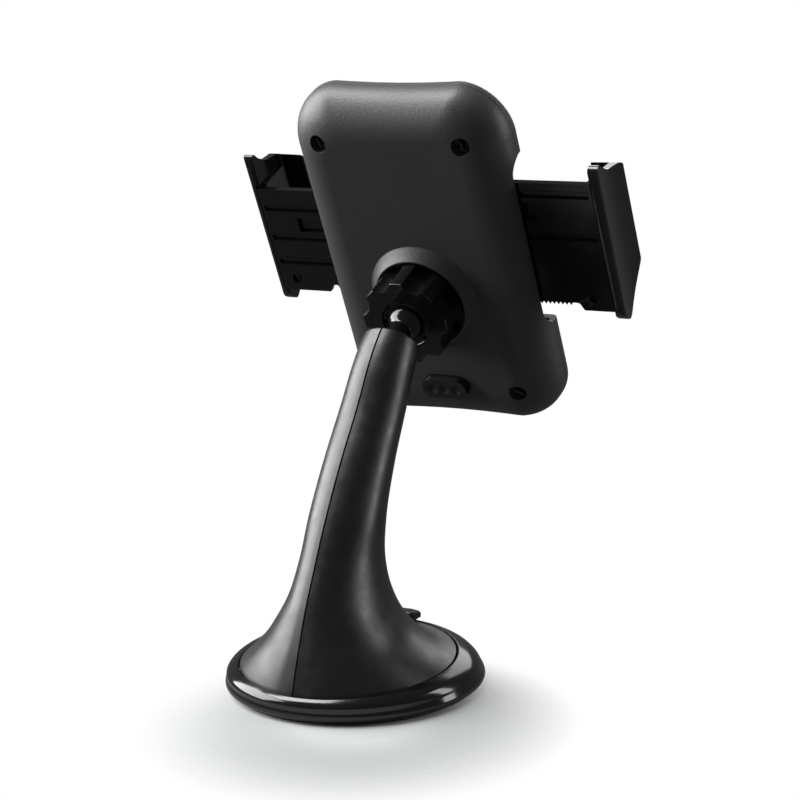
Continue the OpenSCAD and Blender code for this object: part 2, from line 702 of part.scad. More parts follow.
// Side outline of a jaw in (height, depth); its rear edge is flush with the back of its own plate
function jaw_outline(back) = [for (p = [
    [jaw_bottom + 8.8, 0], [jaw_bottom + 5.4, 1], [jaw_bottom + 2.6, 4], [jaw_bottom + 0.6, 7.6],
    [jaw_bottom, 10.8], [jaw_bottom + 1.2, 12.8], [jaw_bottom + 14.8, jaw_t - 1.3],
    [jaw_bottom + 16.6, jaw_t],
    [jaw_top - 10.4, jaw_t], [jaw_top - 9.6, jaw_t - 0.6], [jaw_top - 6.6, 20.2], [jaw_top - 6.7, 18.2],
    [jaw_top - 5.8, 14.6], [jaw_top - 2.1, 10.8], [jaw_top - 0.2, 7.4], [jaw_top, 4.8],
    [jaw_top - 0.4, 3.1], [jaw_top - 2.8, 1.8], [jaw_top - 21, 0]])
    [p[0], p[1] < 10.8 ? back + p[1] * (jaw_back + 10.8 - back) / 10.8 : jaw_back + p[1]]];

// Plan of a jaw in (across, depth), outer face towards +x
module jaw_plan(back) {
    crease = jaw_front - 2 - back - jaw_wall;
    tail = [for (i = [0:4]) let (a = 270 + 22.5 * i)
        [-jaw_wall + jaw_wall * cos(a), back + jaw_wall + jaw_wall * sin(a)]];
    face = [for (i = [1:5]) [-0.9 * sin(30 * i), back + jaw_wall + crease * i / 6]];
    nose = [for (i = [0:4]) let (a = 22.5 * i) [-2 + 2 * cos(a), jaw_front - 2 + 2 * sin(a)]];
    lip_end = [[-lip, jaw_front], [-lip - 0.6, jaw_front - 0.8], [-lip, jaw_front - 1.8]];
    inside = [[-jaw_wall - 1.4, jaw_front - jaw_wall], [-jaw_wall - 0.9, jaw_front - jaw_wall - 1],
        [-jaw_wall - 0.9, back + 1.5]];
    polygon(concat(tail, face, nose, lip_end, inside));
}

module jaw(back) {
    intersection() {
        rotate([90, 0, 90]) translate([0, 0, jaw_reach - 20]) linear_extrude(22) polygon(jaw_outline(back));
        translate([jaw_reach, jaw_bottom - 5, 0]) rotate([90, 0, 0]) mirror([0, 0, 1])
            linear_extrude(jaw_h + 20) jaw_plan(back);
    }
}

// One clamp, drawn on the +x side: sliding plate, rack window, teeth and jaw
module clamp(layer, top, grooves, rack_up, step_x, window) {
    window_h = 2 * rack_gap;
    difference() {
        union() {
            translate([0, 0, layer]) linear_extrude(slide_t) difference() {
                union() {
                    polygon([[-inner_end, tooth_root], [step_x, tooth_root], [step_x + 1.5, tooth_tip - 1.8],
                             [plate_end, tooth_tip - 1.8], [plate_end, top], [-inner_end, top]]);
                    translate([0, tooth_root]) ratchet(tooth_from, step_x);
                }
                translate([-inner_end - 1, pinion_u - rack_gap])
                    square([travel + rack_gap + inner_end + 2, window_h]);
            }
            translate([0, pinion_u + (rack_up ? rack_gap : -rack_gap), layer]) linear_extrude(slide_t)
                mirror([0, rack_up ? 1 : 0]) rack(-inner_end, travel + pitch_r + 1);
            jaw(layer);
            translate([jaw_reach - 5, tooth_tip - 1, layer])
                cube([5 - jaw_wall + eps, top - tooth_tip, layers_end - layer]);
        }
        for (g = grooves) translate([half_w - 6, g - 0.9, layer - 1])
            cube([plate_end - half_w + 4.6, 1.8, 1 + groove_t]);
        translate([window[0], window[1], layer - 1]) cube([window[2], window[3], 1 + groove_t + 0.4]);
        translate([plate_end - 6.5, tooth_tip + 3, layer - 1]) cylinder(r = 1.9, h = 1 + groove_t);
    }
}

module left_clamp() {
    color("#101213")
    cradle() mirror([1, 0, 0])
        clamp(back_layer, left_top, [pinion_u + 14.2, pinion_u - 1.4], true, jaw_reach - 14.7,
            [half_w - 1, pinion_u + 4.8, 5.4, 6.4]);
}

module right_clamp() {
    color("#101213")
    cradle() clamp(front_layer, right_top, [pinion_u + 3.9, pinion_u - 7.7, pinion_u - 17.4], false,
        jaw_reach - 22.7, [half_w - 1, pinion_u - 5, 12.6, 5.4]);
}

module jaw_pad(side) {
    color("#202223")
    cradle() mirror([side < 0 ? 1 : 0, 0, 0])
        translate([jaw_inner - 1.5, jaw_bottom + 16, layers_end + 1.6])
        cube([1.5, jaw_h - 28, jaw_front - jaw_wall - 3 - layers_end]);
}

module left_jaw_pad() {
    jaw_pad(-1);
}

module right_jaw_pad() {
    jaw_pad(1);
}

// Gear outline with straight-sided teeth, one tooth centred on +x
function gear_outline() = let (step = 360 / pinion_teeth) [for (k = [0:pinion_teeth - 1]) each [
    for (p = [[-0.34, pitch_r - dedendum], [-0.215, pitch_r - 0.1], [-0.09, pitch_r + addendum],
              [0.09, pitch_r + addendum], [0.215, pitch_r - 0.1], [0.34, pitch_r - dedendum]])
    let (a = step * (k + p[0]) + 90 + step / 2) [p[1] * cos(a), p[1] * sin(a)]]];

module pinion() {
    color("#c9c5b8")
    cradle() translate([0, pinion_u, 0]) difference() {
        union() {
            translate([0, 0, back_layer]) linear_extrude(layers_end - back_layer) polygon(gear_outline());
            translate([0, 0, back_layer - 2]) cylinder(r = pitch_r - dedendum, h = 2 + eps);
        }
        translate([0, 0, back_layer - 3]) cylinder(d = pinion_shaft_d + 2 * run, h = layers_end);
    }
}

// Shoulder screw that the pinion turns on
module pinion_screw() {
    color("#8c8e90")
    cradle() translate([0, pinion_u, 0]) {
        translate([0, 0, back_layer - 2.2]) cylinder(d = pinion_shaft_d, h = layers_end - back_layer + 2.4);
        translate([0, 0, layers_end + 0.2 - eps]) cylinder(d = pinion_shaft_d + 2, h = 0.6);
        translate([0, 0, 2.6]) cylinder(d = screw_d, h = back_layer - 4.8 + eps);
    }
}

// Clock spring around the pinion's hub that pulls the clamps apart
module opening_spring() {
    strip = 0.4;
    turns = 3.5;
    r_in = pitch_r - dedendum + 0.1;
    r_out = r_in + 5;
    steps = 70;
    color("#a4a6a8")
    cradle() translate([0, pinion_u, back_layer - 1.9]) linear_extrude(1.5) polygon(concat(
        [for (i = [0:steps]) let (a = 360 * turns * i / steps, r = r_in + (r_out - r_in) * i / steps)
            [r * cos(a), r * sin(a)]],
        [for (i = [steps:-1:0])
            let (a = 360 * turns * i / steps, r = r_in + strip + (r_out - r_in) * i / steps)
            [r * cos(a), r * sin(a)]]));
}

// Lock bar whose teeth catch the clamps, with a ramp for the button's stem
module lock_bar() {
    bar_d = layers_end - back_layer;
    window_top = max(stem_w / 2 + button_travel + 0.5, bar_d + 0.2);
    color("#d8d4c8")
    cradle() difference() {
        union() {
            translate([-bar_w / 2, bar_top - tooth_h - bar_h, back_layer]) cube([bar_w, bar_h, bar_d]);
            translate([-shank_w / 2, bar_foot, back_layer])
                cube([shank_w, bar_top - tooth_h - 0.5 - bar_foot, bar_d]);
            translate([tooth_pitch / 2 - tooth_from - 4 * tooth_pitch, bar_top - tooth_h, back_layer])
                linear_extrude(slide_t) mirror([0, 1]) ratchet(0, 4 * tooth_pitch);
            translate([tooth_pitch / 2 + tooth_from, bar_top - tooth_h, front_layer])
                linear_extrude(slide_t) mirror([0, 1]) ratchet(0, 4 * tooth_pitch);
        }
        translate([-stem_w / 2 - 0.7, button_u, 0]) rotate([90, 0, 90]) linear_extrude(stem_w + 1.4) polygon([
            [-0.1, back_layer - 0.1], [window_top, back_layer - 0.1], [window_top, layers_end + 0.1],
            [bar_d + 0.1, layers_end + 0.1]]);
    }
}

module lock_spring() {
    color("#a4a6a8")
    cradle() translate([0, spring_seat, (back_layer + layers_end) / 2]) rotate([-90, 0, 0])
        coil(1.5, 0.3, bar_foot - spring_seat, 5);
}

// Button with a stem whose ramp lies along the lock bar's
module release_button() {
    color("#2c2e2f")
    cradle() difference() {
        union() {
            translate([0, button_u, -button_out]) linear_extrude(button_out + shell_wall + 0.2)
                polygon(round_rect(button_l, button_h, button_h / 2 - 0.1));
            translate([0, button_u, shell_wall + 0.1]) linear_extrude(1.2)
                polygon(round_rect(button_l + 2.4, button_h - 2.4, button_h / 2 - 1.4));
            translate([-stem_w / 2, button_u, 0]) rotate([90, 0, 90]) linear_extrude(stem_w) polygon([
                [-stem_w / 2, shell_wall], [stem_w / 2, shell_wall], [stem_w / 2, stem_tip],
                [stem_tip - back_layer + ramp_play, stem_tip],
                [-stem_w / 2, back_layer - stem_w / 2 - ramp_play]]);
        }
        for (i = [-1:1]) translate([4.4 * i, button_u, -button_out - 2.6]) sphere(r = 3.2, $fn = 40);
    }
}

suction_cup();
cup_stud();
return_spring();
base_ring();
base_plate();
base_screws();
suction_lever();
lever_pin();
arm_shell_left();
arm_shell_right();
ball_stud();
ball_liner();
friction_pad();
ball_socket();
socket_screws();
lock_nut();
rear_shell();
front_shell();
front_pad();
shell_screws();
left_clamp();
right_clamp();
left_jaw_pad();
right_jaw_pad();
pinion();
pinion_screw();
opening_spring();
lock_bar();
lock_spring();
release_button();
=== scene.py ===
"""Looks of a car phone mount: suction base, curved arm, ball joint with a lobed nut, and a cradle."""

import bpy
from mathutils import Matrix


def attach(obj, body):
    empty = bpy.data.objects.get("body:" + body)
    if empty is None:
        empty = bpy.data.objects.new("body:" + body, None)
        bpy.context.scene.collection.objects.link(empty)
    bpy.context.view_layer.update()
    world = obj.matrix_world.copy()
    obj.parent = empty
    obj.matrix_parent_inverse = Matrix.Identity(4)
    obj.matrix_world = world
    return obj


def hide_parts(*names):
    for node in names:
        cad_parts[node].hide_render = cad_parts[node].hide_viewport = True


bl_info = {
    "name": "Car phone mount looks",
    "version": (1, 0, 0),
    "blender": (4, 5, 0),
    "location": "3D View > Sidebar > Phone Mount",
    "description": "Builds the shown pieces, finishes and studio of a car phone mount",
    "category": "Object",
}

import math

import bmesh
import bpy
from mathutils import Matrix, Vector

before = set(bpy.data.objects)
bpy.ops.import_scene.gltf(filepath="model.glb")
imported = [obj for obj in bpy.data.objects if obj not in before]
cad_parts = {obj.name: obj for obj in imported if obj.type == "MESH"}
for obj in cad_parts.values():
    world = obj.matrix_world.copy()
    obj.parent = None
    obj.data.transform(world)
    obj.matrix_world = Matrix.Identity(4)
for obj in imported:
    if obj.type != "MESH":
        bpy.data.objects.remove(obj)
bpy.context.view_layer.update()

MM = 0.001

# The cradle's own space: x across, y up the cradle, z from its back towards the phone
LEAN = math.radians(23.6)
BALL = Vector((0.0, -43.0, 110.8))
BALL_OUT = 13.6
PHONE_WARD = Vector((0, -math.cos(LEAN), math.sin(LEAN)))
UP_CRADLE = Vector((0, math.sin(LEAN), math.cos(LEAN)))
CRADLE_ORIGIN = BALL + PHONE_WARD * BALL_OUT

# Finishes that the record names, by the piece that wears them
NODE_FINISH = {
    "cup_stud": "inner_black", "return_spring": "steel", "base_plate": "inner_black",
    "lever_pin": "steel", "ball_liner": "inner_black", "friction_pad": "rubber",
    "ball_socket": "inner_black", "pinion": "acetal", "pinion_screw": "steel",
    "opening_spring": "steel", "lock_bar": "acetal", "lock_spring": "steel",
}
MID_UP = 10.0
SPLIT_DEPTH = 13.2
BACK_LAYER = 9.6
FRONT_LAYER = 11.9
BUTTON_UP = -35.4
SLOT_LOW, SLOT_HIGH, SLOT_DEPTH, SLOT_ROUND = -15.4, 47.8, 8.5, 6.2
PIN_HEIGHT = 16.7


# ---------------------------------------------------------------- spaces and small sums

def row_space():
    """Millimetres in the row frame."""
    return Matrix.Scale(MM, 4)


def cradle_space():
    """Millimetres across, up and into the cradle."""
    turn = Matrix((
        (1, 0, 0, CRADLE_ORIGIN.x),
        (0, UP_CRADLE.y, PHONE_WARD.y, CRADLE_ORIGIN.y),
        (0, UP_CRADLE.z, PHONE_WARD.z, CRADLE_ORIGIN.z),
        (0, 0, 0, 1)))
    return row_space() @ turn


def joint_space():
    """Millimetres about the ball's axis, z outwards from the cradle's back."""
    return cradle_space() @ Matrix.Rotation(math.pi, 4, "X")


def eased_keys(keys, steps):
    """Rows between the keys, on a cubic through them; the first number of each row has to grow."""
    count = len(keys)
    slopes = []
    for i in range(count):
        low, high = max(i - 1, 0), min(i + 1, count - 1)
        left = [(b - a) / max(keys[i][0] - keys[low][0], 1e-9) for a, b in zip(keys[low], keys[i])]
        right = [(b - a) / max(keys[high][0] - keys[i][0], 1e-9) for a, b in zip(keys[i], keys[high])]
        if low == i:
            slopes.append(right)
        elif high == i:
            slopes.append(left)
        else:
            before, after = keys[i][0] - keys[low][0], keys[high][0] - keys[i][0]
            slopes.append([(l * after + r * before) / (before + after) for l, r in zip(left, right)])
    rows = []
    for i in range(count - 1):
        span = keys[i + 1][0] - keys[i][0]
        for k in range(steps):
            t = k / steps
            h0, h1 = 2 * t ** 3 - 3 * t ** 2 + 1, t ** 3 - 2 * t ** 2 + t
            h2, h3 = 3 * t ** 2 - 2 * t ** 3, t ** 3 - t ** 2
            rows.append([h0 * a + h1 * span * m + h2 * b + h3 * span * n
                         for a, b, m, n in zip(keys[i], keys[i + 1], slopes[i], slopes[i + 1])])
    rows.append(list(keys[-1]))
    return rows


def arc(cx, cy, radius, start, end, steps):
    """Points of an arc, angles in degrees."""
    return [(cx + radius * math.cos(math.radians(start + (end - start) * k / steps)),
             cy + radius * math.sin(math.radians(start + (end - start) * k / steps)))
            for k in range(steps + 1)]


def round_box(width, height, radius, steps):
    """Points of a rectangle with round corners, anticlockwise."""
    points = []
    for q, (sx, sy) in enumerate(((1, 1), (-1, 1), (-1, -1), (1, -1))):
        points += arc(sx * (width / 2 - radius), sy * (height / 2 - radius), radius,
                      90 * q, 90 * q + 90, steps)
    return points


def evened(points):
    """The outline with five more points on each of its long straight sides."""
    found = []
    for k, point in enumerate(points):
        following = points[(k + 1) % len(points)]
        found.append(point)
        if math.dist(point, following) > 12:
            found += [tuple(a + (b - a) * share for a, b in zip(point, following))
                      for share in (.1, .3, .5, .7, .9)]
    return found


# ---------------------------------------------------------------- meshes

def new_object(name, mesh):
    found = bpy.data.objects.new(name, mesh)
    bpy.context.scene.collection.objects.link(found)
    return found


def mesh_object(name, points, faces, space):
    mesh = bpy.data.meshes.new(name)
    mesh.from_pydata([space @ Vector(p) for p in points], [], faces)
    bm = bmesh.new()
    bm.from_mesh(mesh)
    bmesh.ops.remove_doubles(bm, verts=bm.verts, dist=1e-7)
    bmesh.ops.recalc_face_normals(bm, faces=bm.faces)
    bm.to_mesh(mesh)
    bm.free()
    return new_object(name, mesh)


def skinned(name, rings, space, loop=False):
    """A skin through rings of equal point counts; a loop joins the last ring to the first."""
    n, count = len(rings[0]), len(rings)
    points = [p for ring in rings for p in ring]
    faces = []
    for k in range(count if loop else count - 1):
        a, b = k * n, ((k + 1) % count) * n
        for i in range(n):
            j = (i + 1) % n
            faces.append((a + i, a + j, b + j, b + i))
    if not loop:
        faces.append(tuple(range(n - 1, -1, -1)))
        faces.append(tuple((count - 1) * n + i for i in range(n)))
    return mesh_object(name, points, faces, space)


def turned(name, profile, space, steps=128):
    """A closed profile of (radius, height) turned about the z axis."""
    rings = []
    for k in range(steps):
        angle = 2 * math.pi * k / steps
        rings.append([(r * math.cos(angle), r * math.sin(angle), z) for r, z in profile])
    return skinned(name, rings, space, loop=True)


def prism(name, outline, low, high, space):
    """An outline of (x, y) drawn out along z."""
    return skinned(name, [[(x, y, z) for x, y in outline] for z in (low, high)], space)


def side_prism(name, outline, low, high, space):
    """An outline of (up, depth) drawn out across the cradle."""
    return skinned(name, [[(x, u, d) for u, d in outline] for x in (low, high)], space)


def box_mesh(name, low, high, space):
    outline = [(low[0], low[1]), (high[0], low[1]), (high[0], high[1]), (low[0], high[1])]
    return prism(name, outline, low[2], high[2], space)


def settle(piece):
    """Turns the modifiers' result into the piece's plain mesh."""
    bpy.context.view_layer.update()
    graph = bpy.context.evaluated_depsgraph_get()
    mesh = bpy.data.meshes.new_from_object(piece.evaluated_get(graph))
    piece.modifiers.clear()
    piece.data = mesh
    return piece


def combine(piece, others, operation):
    """Cuts the others out of the piece, or adds them to it, and removes them."""
    for other in others:
        step = piece.modifiers.new(other.name, "BOOLEAN")
        step.operation = operation
        step.object = other
        step.solver = "EXACT"
    settle(piece)
    for other in others:
        bpy.data.objects.remove(other)
    return piece


def soften(piece, width, segments=2, angle=32.0, square_to=None):
    """Rounds the sharp edges by a small width and evens the shading; faces square to a space stay flat."""
    if width > 0:
        bevel = piece.modifiers.new("edges", "BEVEL")
        bevel.width = width * MM
        bevel.segments = segments
        bevel.limit_method = "ANGLE"
        bevel.angle_limit = math.radians(angle)
        bevel.use_clamp_overlap = True
        bevel.miter_outer = "MITER_ARC"
        settle(piece)
    piece.data.shade_smooth()
    piece.data.set_sharp_from_angle(angle=math.radians(38))
    if square_to is not None:
        axes = [square_to.col[k].xyz.normalized() for k in range(3)]
        for face in piece.data.polygons:
            if max(abs(face.normal.dot(axis)) for axis in axes) > 0.9998:
                face.use_smooth = False
    weighted = piece.modifiers.new("shading", "WEIGHTED_NORMAL")
    weighted.keep_sharp = True
    weighted.weight = 60
    return settle(piece)


def copied(node, name, width, segments=2, angle=32.0):
    """A piece in the CAD node's shape, with its edges rounded."""
    piece = new_object(name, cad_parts[node].data.copy())
    bm = bmesh.new()
    bm.from_mesh(piece.data)
    bmesh.ops.remove_doubles(bm, verts=bm.verts, dist=2e-6)
    bm.to_mesh(piece.data)
    bm.free()
    piece.data.materials.clear()
    return soften(piece, width, segments, angle)


def dress(piece, finish, body, replaced=()):
    """Gives a finished piece its material and its body, and hides the CAD nodes it stands for."""
    piece.data.materials.clear()
    piece.data.materials.append(bpy.data.materials[finish])
    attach(piece, body)
    if replaced:
        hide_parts(*replaced)
    return piece


# ---------------------------------------------------------------- finishes

# Share by which a moulded colour drifts to either side
MOTTLE = 0.06


def add_node(tree, kind, inputs=None, **settings):
    """A node with its settings; each of its inputs takes a value or a link from a socket."""
    made = tree.nodes.new(kind)
    for name, value in settings.items():
        setattr(made, name, value)
    for name, value in (inputs or {}).items():
        if isinstance(value, bpy.types.NodeSocket):
            tree.links.new(value, made.inputs[name])
        else:
            made.inputs[name].default_value = value
    return made


def cleared(owner):
    """The node tree of a material or a world, emptied."""
    owner.use_nodes = True
    owner.node_tree.nodes.clear()
    return owner.node_tree


def noise(tree, place, size, detail, rough=0.5):
    """Noise whose grains are about size millimetres across."""
    made = add_node(tree, "ShaderNodeTexNoise", {
        "Scale": 1 / (size * MM), "Detail": detail, "Roughness": rough, "Vector": place})
    return made.outputs["Fac"]


def spread(tree, source, low, high, from_low=0.3, from_high=0.7):
    made = add_node(tree, "ShaderNodeMapRange", {
        "Value": source, "From Min": from_low, "From Max": from_high, "To Min": low, "To Max": high})
    return made.outputs["Result"]


def start_finish(name):
    """The emptied tree of the frame's or a new material, and the socket that places its patterns."""
    tree = cleared(bpy.data.materials.get(name) or bpy.data.materials.new(name))
    return tree, tree.nodes.new("ShaderNodeTexCoord").outputs["Object"]


def end_finish(tree, relief, height, tint, colours, gloss, roughness, metallic=0.0):
    """Joins a relief, a drift between two colours and an uneven gloss into one surface."""
    bump = add_node(tree, "ShaderNodeBump", {"Strength": 1.0, "Distance": height * MM, "Height": relief})
    mix = add_node(tree, "ShaderNodeMix", {
        0: spread(tree, tint, 0, 1), 6: (*colours[0], 1), 7: (*colours[1], 1)}, data_type="RGBA")
    shader = add_node(tree, "ShaderNodeBsdfPrincipled", {
        "Normal": bump.outputs["Normal"], "Base Color": mix.outputs[2],
        "Roughness": spread(tree, gloss, *roughness), "Metallic": metallic, "Specular IOR Level": 0.5})
    add_node(tree, "ShaderNodeOutputMaterial", {"Surface": shader.outputs["BSDF"]})


def moulded(name, colour, roughness, grain, height, uneven=0.05, metallic=0.0):
    """A moulded or plated surface: grain bump, a slightly uneven gloss and a faint change of colour."""
    tree, place = start_finish(name)
    colours = [[c * (1 - MOTTLE) for c in colour], [c * (1 + MOTTLE) for c in colour]]
    end_finish(tree, noise(tree, place, grain, 3.0, 0.6), height, noise(tree, place, 22, 3.0), colours,
               noise(tree, place, grain * 9, 2.0), (roughness - uneven, roughness + uneven), metallic)


def eroded(name, colour, roughness, grain, height):
    """Spark-eroded plastic: rounded pits over fine grain, with dull pits and brighter tops; the colour
    follows the relief's fine grain, painted shade in its hollows and painted highlight on its tops.
    """
    tree, place = start_finish(name)
    pits = add_node(tree, "ShaderNodeTexVoronoi", feature="SMOOTH_F1")
    pits.inputs["Scale"].default_value = 1 / (grain * 1.7 * MM)
    pits.inputs["Smoothness"].default_value = 0.6
    tree.links.new(place, pits.inputs["Vector"])
    fine = noise(tree, place, grain, 4.0, 0.65)
    total = add_node(tree, "ShaderNodeMath", {0: pits.outputs["Distance"], 1: fine}, operation="ADD")
    # Darker in the fine grain's hollows, lighter on its tops: painted shade and painted highlight.
    colours = [[c * 0.8 for c in colour], [c * 1.25 for c in colour]]
    end_finish(tree, total.outputs["Value"], height, fine, colours, noise(tree, place, 30, 2.0),
               (roughness - 0.03, roughness + 0.03))


# ---------------------------------------------------------------- settings

def colour_setting(name, description, default):
    return bpy.props.FloatVectorProperty(
        name=name, description=description, default=default, size=3, min=0, max=1, subtype="COLOR")


def length_setting(name, description, default):
    return bpy.props.FloatProperty(
        name=name, description=description, default=default * MM, min=0, unit="LENGTH", precision=4)


class MountSizes(bpy.types.PropertyGroup):
    """Sizes of the shown pieces."""
    seam: length_setting("Seam depth", "Depth of the groove between the arm's halves", 0.35)
    shoulder: length_setting("Shoulder", "Reach of the rounded shoulder around the cradle's back", 14.0)
    corner: length_setting("Corner radius", "Corner radius of the cradle's outline", 16.0)
    body_width: length_setting("Body width", "Width of the cradle body", 77.0)
    body_height: length_setting("Body height", "Height of the cradle body", 125.5)
    body_depth: length_setting("Body depth", "Depth of the cradle body", 17.0)
    wall: length_setting("Shell wall", "Wall of the cradle's shells", 2.2)
    nut_width: length_setting("Nut width", "Width of the lock nut over its lobes", 31.0)
    lobe_depth: length_setting("Lobe depth", "Depth of the hollows between the nut's lobes", 2.5)
    crown: length_setting("Crown", "Bow of the cradle's top and bottom edges", 2.2)
    head: length_setting("Screw head", "Diameter of the shell screws' heads", 5.2)
    lobes: bpy.props.IntProperty(
        name="Lobes", description="Number of lobes on the nut", default=8, min=3, max=16)


class MountFinishes(bpy.types.PropertyGroup):
    """Colours and grain of the finishes."""
    charcoal: colour_setting("Charcoal", "Textured plastic of the cradle's shells", (0.042, 0.0425, 0.042))
    satin: colour_setting("Satin black", "Plastic of the arm", (0.008, 0.008, 0.008))
    gloss: colour_setting("Gloss black", "Polished plastic of ring, nut and clamps", (0.006, 0.006, 0.006))
    rubber: colour_setting("Rubber", "Rubber of the cup and pads", (0.010, 0.010, 0.010))
    inner: colour_setting("Inner black", "Plain plastic of the hidden pieces", (0.012, 0.012, 0.012))
    steel: colour_setting("Steel", "Zinc-plated steel of springs and pins", (0.55, 0.55, 0.57))
    oxide: colour_setting("Black oxide", "Blackened steel of the shell screws", (0.03, 0.03, 0.032))
    acetal: colour_setting("Acetal", "Natural plastic of the pinion and lock bar", (0.72, 0.69, 0.61))
    grain: length_setting("Grain", "Size of the spark-eroded grain", 0.42)


class MountStudio(bpy.types.PropertyGroup):
    """Camera, light and floor."""
    azimuth: bpy.props.FloatProperty(
        name="Azimuth", description="Turn of the camera about the mount", default=math.radians(208.84),
        subtype="ANGLE")
    elevation: bpy.props.FloatProperty(
        name="Elevation", description="Height of the camera above the horizon", default=math.radians(12.297),
        subtype="ANGLE")
    roll: bpy.props.FloatProperty(
        name="Roll", description="Turn of the camera about its view", default=math.radians(1.884),
        subtype="ANGLE")
    distance: length_setting("Distance", "Camera to the mount's middle", 700.0)
    lens: bpy.props.FloatProperty(
        name="Focal length", description="Focal length in millimetres on a 36 mm wide sensor",
        default=100.47, min=1)
    # The floor's grey is a painted shadow round the mount's base.
    floor: colour_setting("Floor", "Colour of the studio floor", (0.42, 0.43, 0.43))
    light: bpy.props.FloatProperty(
        name="Light", description="Strength of the studio light, as a factor", default=1.0, min=0)


# ---------------------------------------------------------------- repeated shapes

# The shapes that repeat, each one unit across; a block is two
SHAPES = {
    "ball": ("GeometryNodeMeshUVSphere", {"Segments": 40, "Rings": 24, "Radius": 0.5}),
    "block": ("GeometryNodeMeshCube", {}),
    "tooth": ("GeometryNodeMeshCylinder", {"Vertices": 3, "Radius": 0.5, "Depth": 1.0}),
    "rod": ("GeometryNodeMeshCylinder", {"Vertices": 64, "Radius": 0.5, "Depth": 1.0}),
}


def start_tree(name, wanted):
    """A Geometry Nodes tree, its inputs' sockets and their identifiers by name."""
    tree = bpy.data.node_groups.new(name, "GeometryNodeTree")
    tree.interface.new_socket(name="Geometry", in_out="INPUT", socket_type="NodeSocketGeometry")
    names = {}
    for label, kind, default in wanted:
        socket = tree.interface.new_socket(name=label, in_out="INPUT", socket_type="NodeSocket" + kind)
        if default is not None:
            socket.default_value = default
        names[label] = socket.identifier
    tree.interface.new_socket(name="Geometry", in_out="OUTPUT", socket_type="NodeSocketGeometry")
    return tree, tree.nodes.new("NodeGroupInput").outputs, names


def lay_copies(tree, finish, inputs):
    """Lays copies on points, makes them real, gives them their finish and ends the tree."""
    lay = add_node(tree, "GeometryNodeInstanceOnPoints", inputs)
    real = add_node(tree, "GeometryNodeRealizeInstances", {"Geometry": lay.outputs["Instances"]})
    paint = add_node(tree, "GeometryNodeSetMaterial", {
        "Geometry": real.outputs["Geometry"], "Material": bpy.data.materials[finish]})
    add_node(tree, "NodeGroupOutput", {"Geometry": paint.outputs["Geometry"]})


def run_tree(name, points, tree, names, values):
    """Runs a tree on points with its inputs set, and keeps the result as a plain mesh."""
    mesh = bpy.data.meshes.new(name)
    mesh.from_pydata(points, [], [])
    piece = new_object(name, mesh)
    made = piece.modifiers.new("nodes", "NODES")
    made.node_group = tree
    for label, value in values.items():
        made[names[label]] = value
    return settle(piece)


def repeat_tree(shape, finish):
    """Copies of one shape in a row or around a ring: teeth, rails, dimples or lobe hollows."""
    tree, given, names = start_tree("repeat_" + shape, (
        ("Count", "Int", 3), ("Start", "Vector", None), ("Step", "Vector", None), ("Size", "Vector", None),
        ("Turn", "Float", 0.0)))
    line = add_node(tree, "GeometryNodeMeshLine", {
        "Count": given["Count"], "Start Location": given["Start"], "Offset": given["Step"]})
    one = add_node(tree, *SHAPES[shape])
    sized = add_node(tree, "GeometryNodeTransform", {
        "Scale": given["Size"], "Geometry": one.outputs["Mesh"]})
    number = tree.nodes.new("GeometryNodeInputIndex").outputs[0]
    angle = add_node(tree, "ShaderNodeMath", {0: number, 1: given["Turn"]}, operation="MULTIPLY")
    spot = tree.nodes.new("GeometryNodeInputPosition").outputs[0]
    spin = add_node(tree, "ShaderNodeVectorRotate", rotation_type="Z_AXIS")
    tree.links.new(spot, spin.inputs["Vector"])
    tree.links.new(angle.outputs[0], spin.inputs["Angle"])
    place = add_node(tree, "GeometryNodeSetPosition", {
        "Geometry": line.outputs["Mesh"], "Position": spin.outputs[0]})
    lay_copies(tree, finish, {"Points": place.outputs["Geometry"], "Instance": sized.outputs["Geometry"]})
    return tree, names


def repeated(name, shape, finish, space, count, start, step=(0, 0, 0), size=(1, 1, 1), turn=0.0):
    """The copies as one mesh; every length is in the millimetres of the given space."""
    tree, names = repeat_tree(shape, finish)
    piece = run_tree(name, [(0, 0, 0)], tree, names, {
        "Count": count, "Start": start, "Step": step, "Size": size, "Turn": turn})
    piece.data.transform(space)
    bm = bmesh.new()
    bm.from_mesh(piece.data)
    bmesh.ops.recalc_face_normals(bm, faces=bm.faces)
    bm.to_mesh(piece.data)
    bm.free()
    return piece


# ---------------------------------------------------------------- arm and base

ARM_RISE = 100.0
FOOT_HEIGHT = 10.1
FOOT_RADIUS = 34.6
FOOT_BACK = 4.3
PLATE_TOP = 7.0
ARM_WALL = 2.4
# Share of the rise, half width, middle and half depth, as the arm narrows and curves forward
ARM_STATIONS = (
    (0.00, 34.6, 4.3, 34.6), (0.04, 29.3, 6.3, 30.4), (0.09, 23.6, 8.0, 26.7), (0.15, 19.0, 8.5, 23.5),
    (0.22, 14.9, 7.6, 21.1), (0.32, 12.4, 5.5, 17.6), (0.45, 11.8, 1.2, 14.3), (0.60, 11.2, -6.8, 12.3),
    (0.78, 10.5, -18.8, 10.9))
ARM_NOSE = ((0.875, 10.1, -25.0, 9.4, 36), (0.932, 9.75, -29.4, 8.8, 41), (0.951, 9.5, -31.0, 8.5, 43))


def arm_keys():
    """Rows of (height, middle, half width, half depth, tilt) up the arm."""
    keys = []
    for share, half, middle, deep in ARM_STATIONS:
        tilt = -3.5 if share < 0.01 else 32 * share ** 1.5
        keys.append((FOOT_HEIGHT + share * ARM_RISE, middle, half, deep * (1 - 0.14 * share ** 2), tilt))
    for share, half, middle, deep, tilt in ARM_NOSE:
        keys.append((FOOT_HEIGHT + share * ARM_RISE, middle, half, deep, tilt))
    return keys


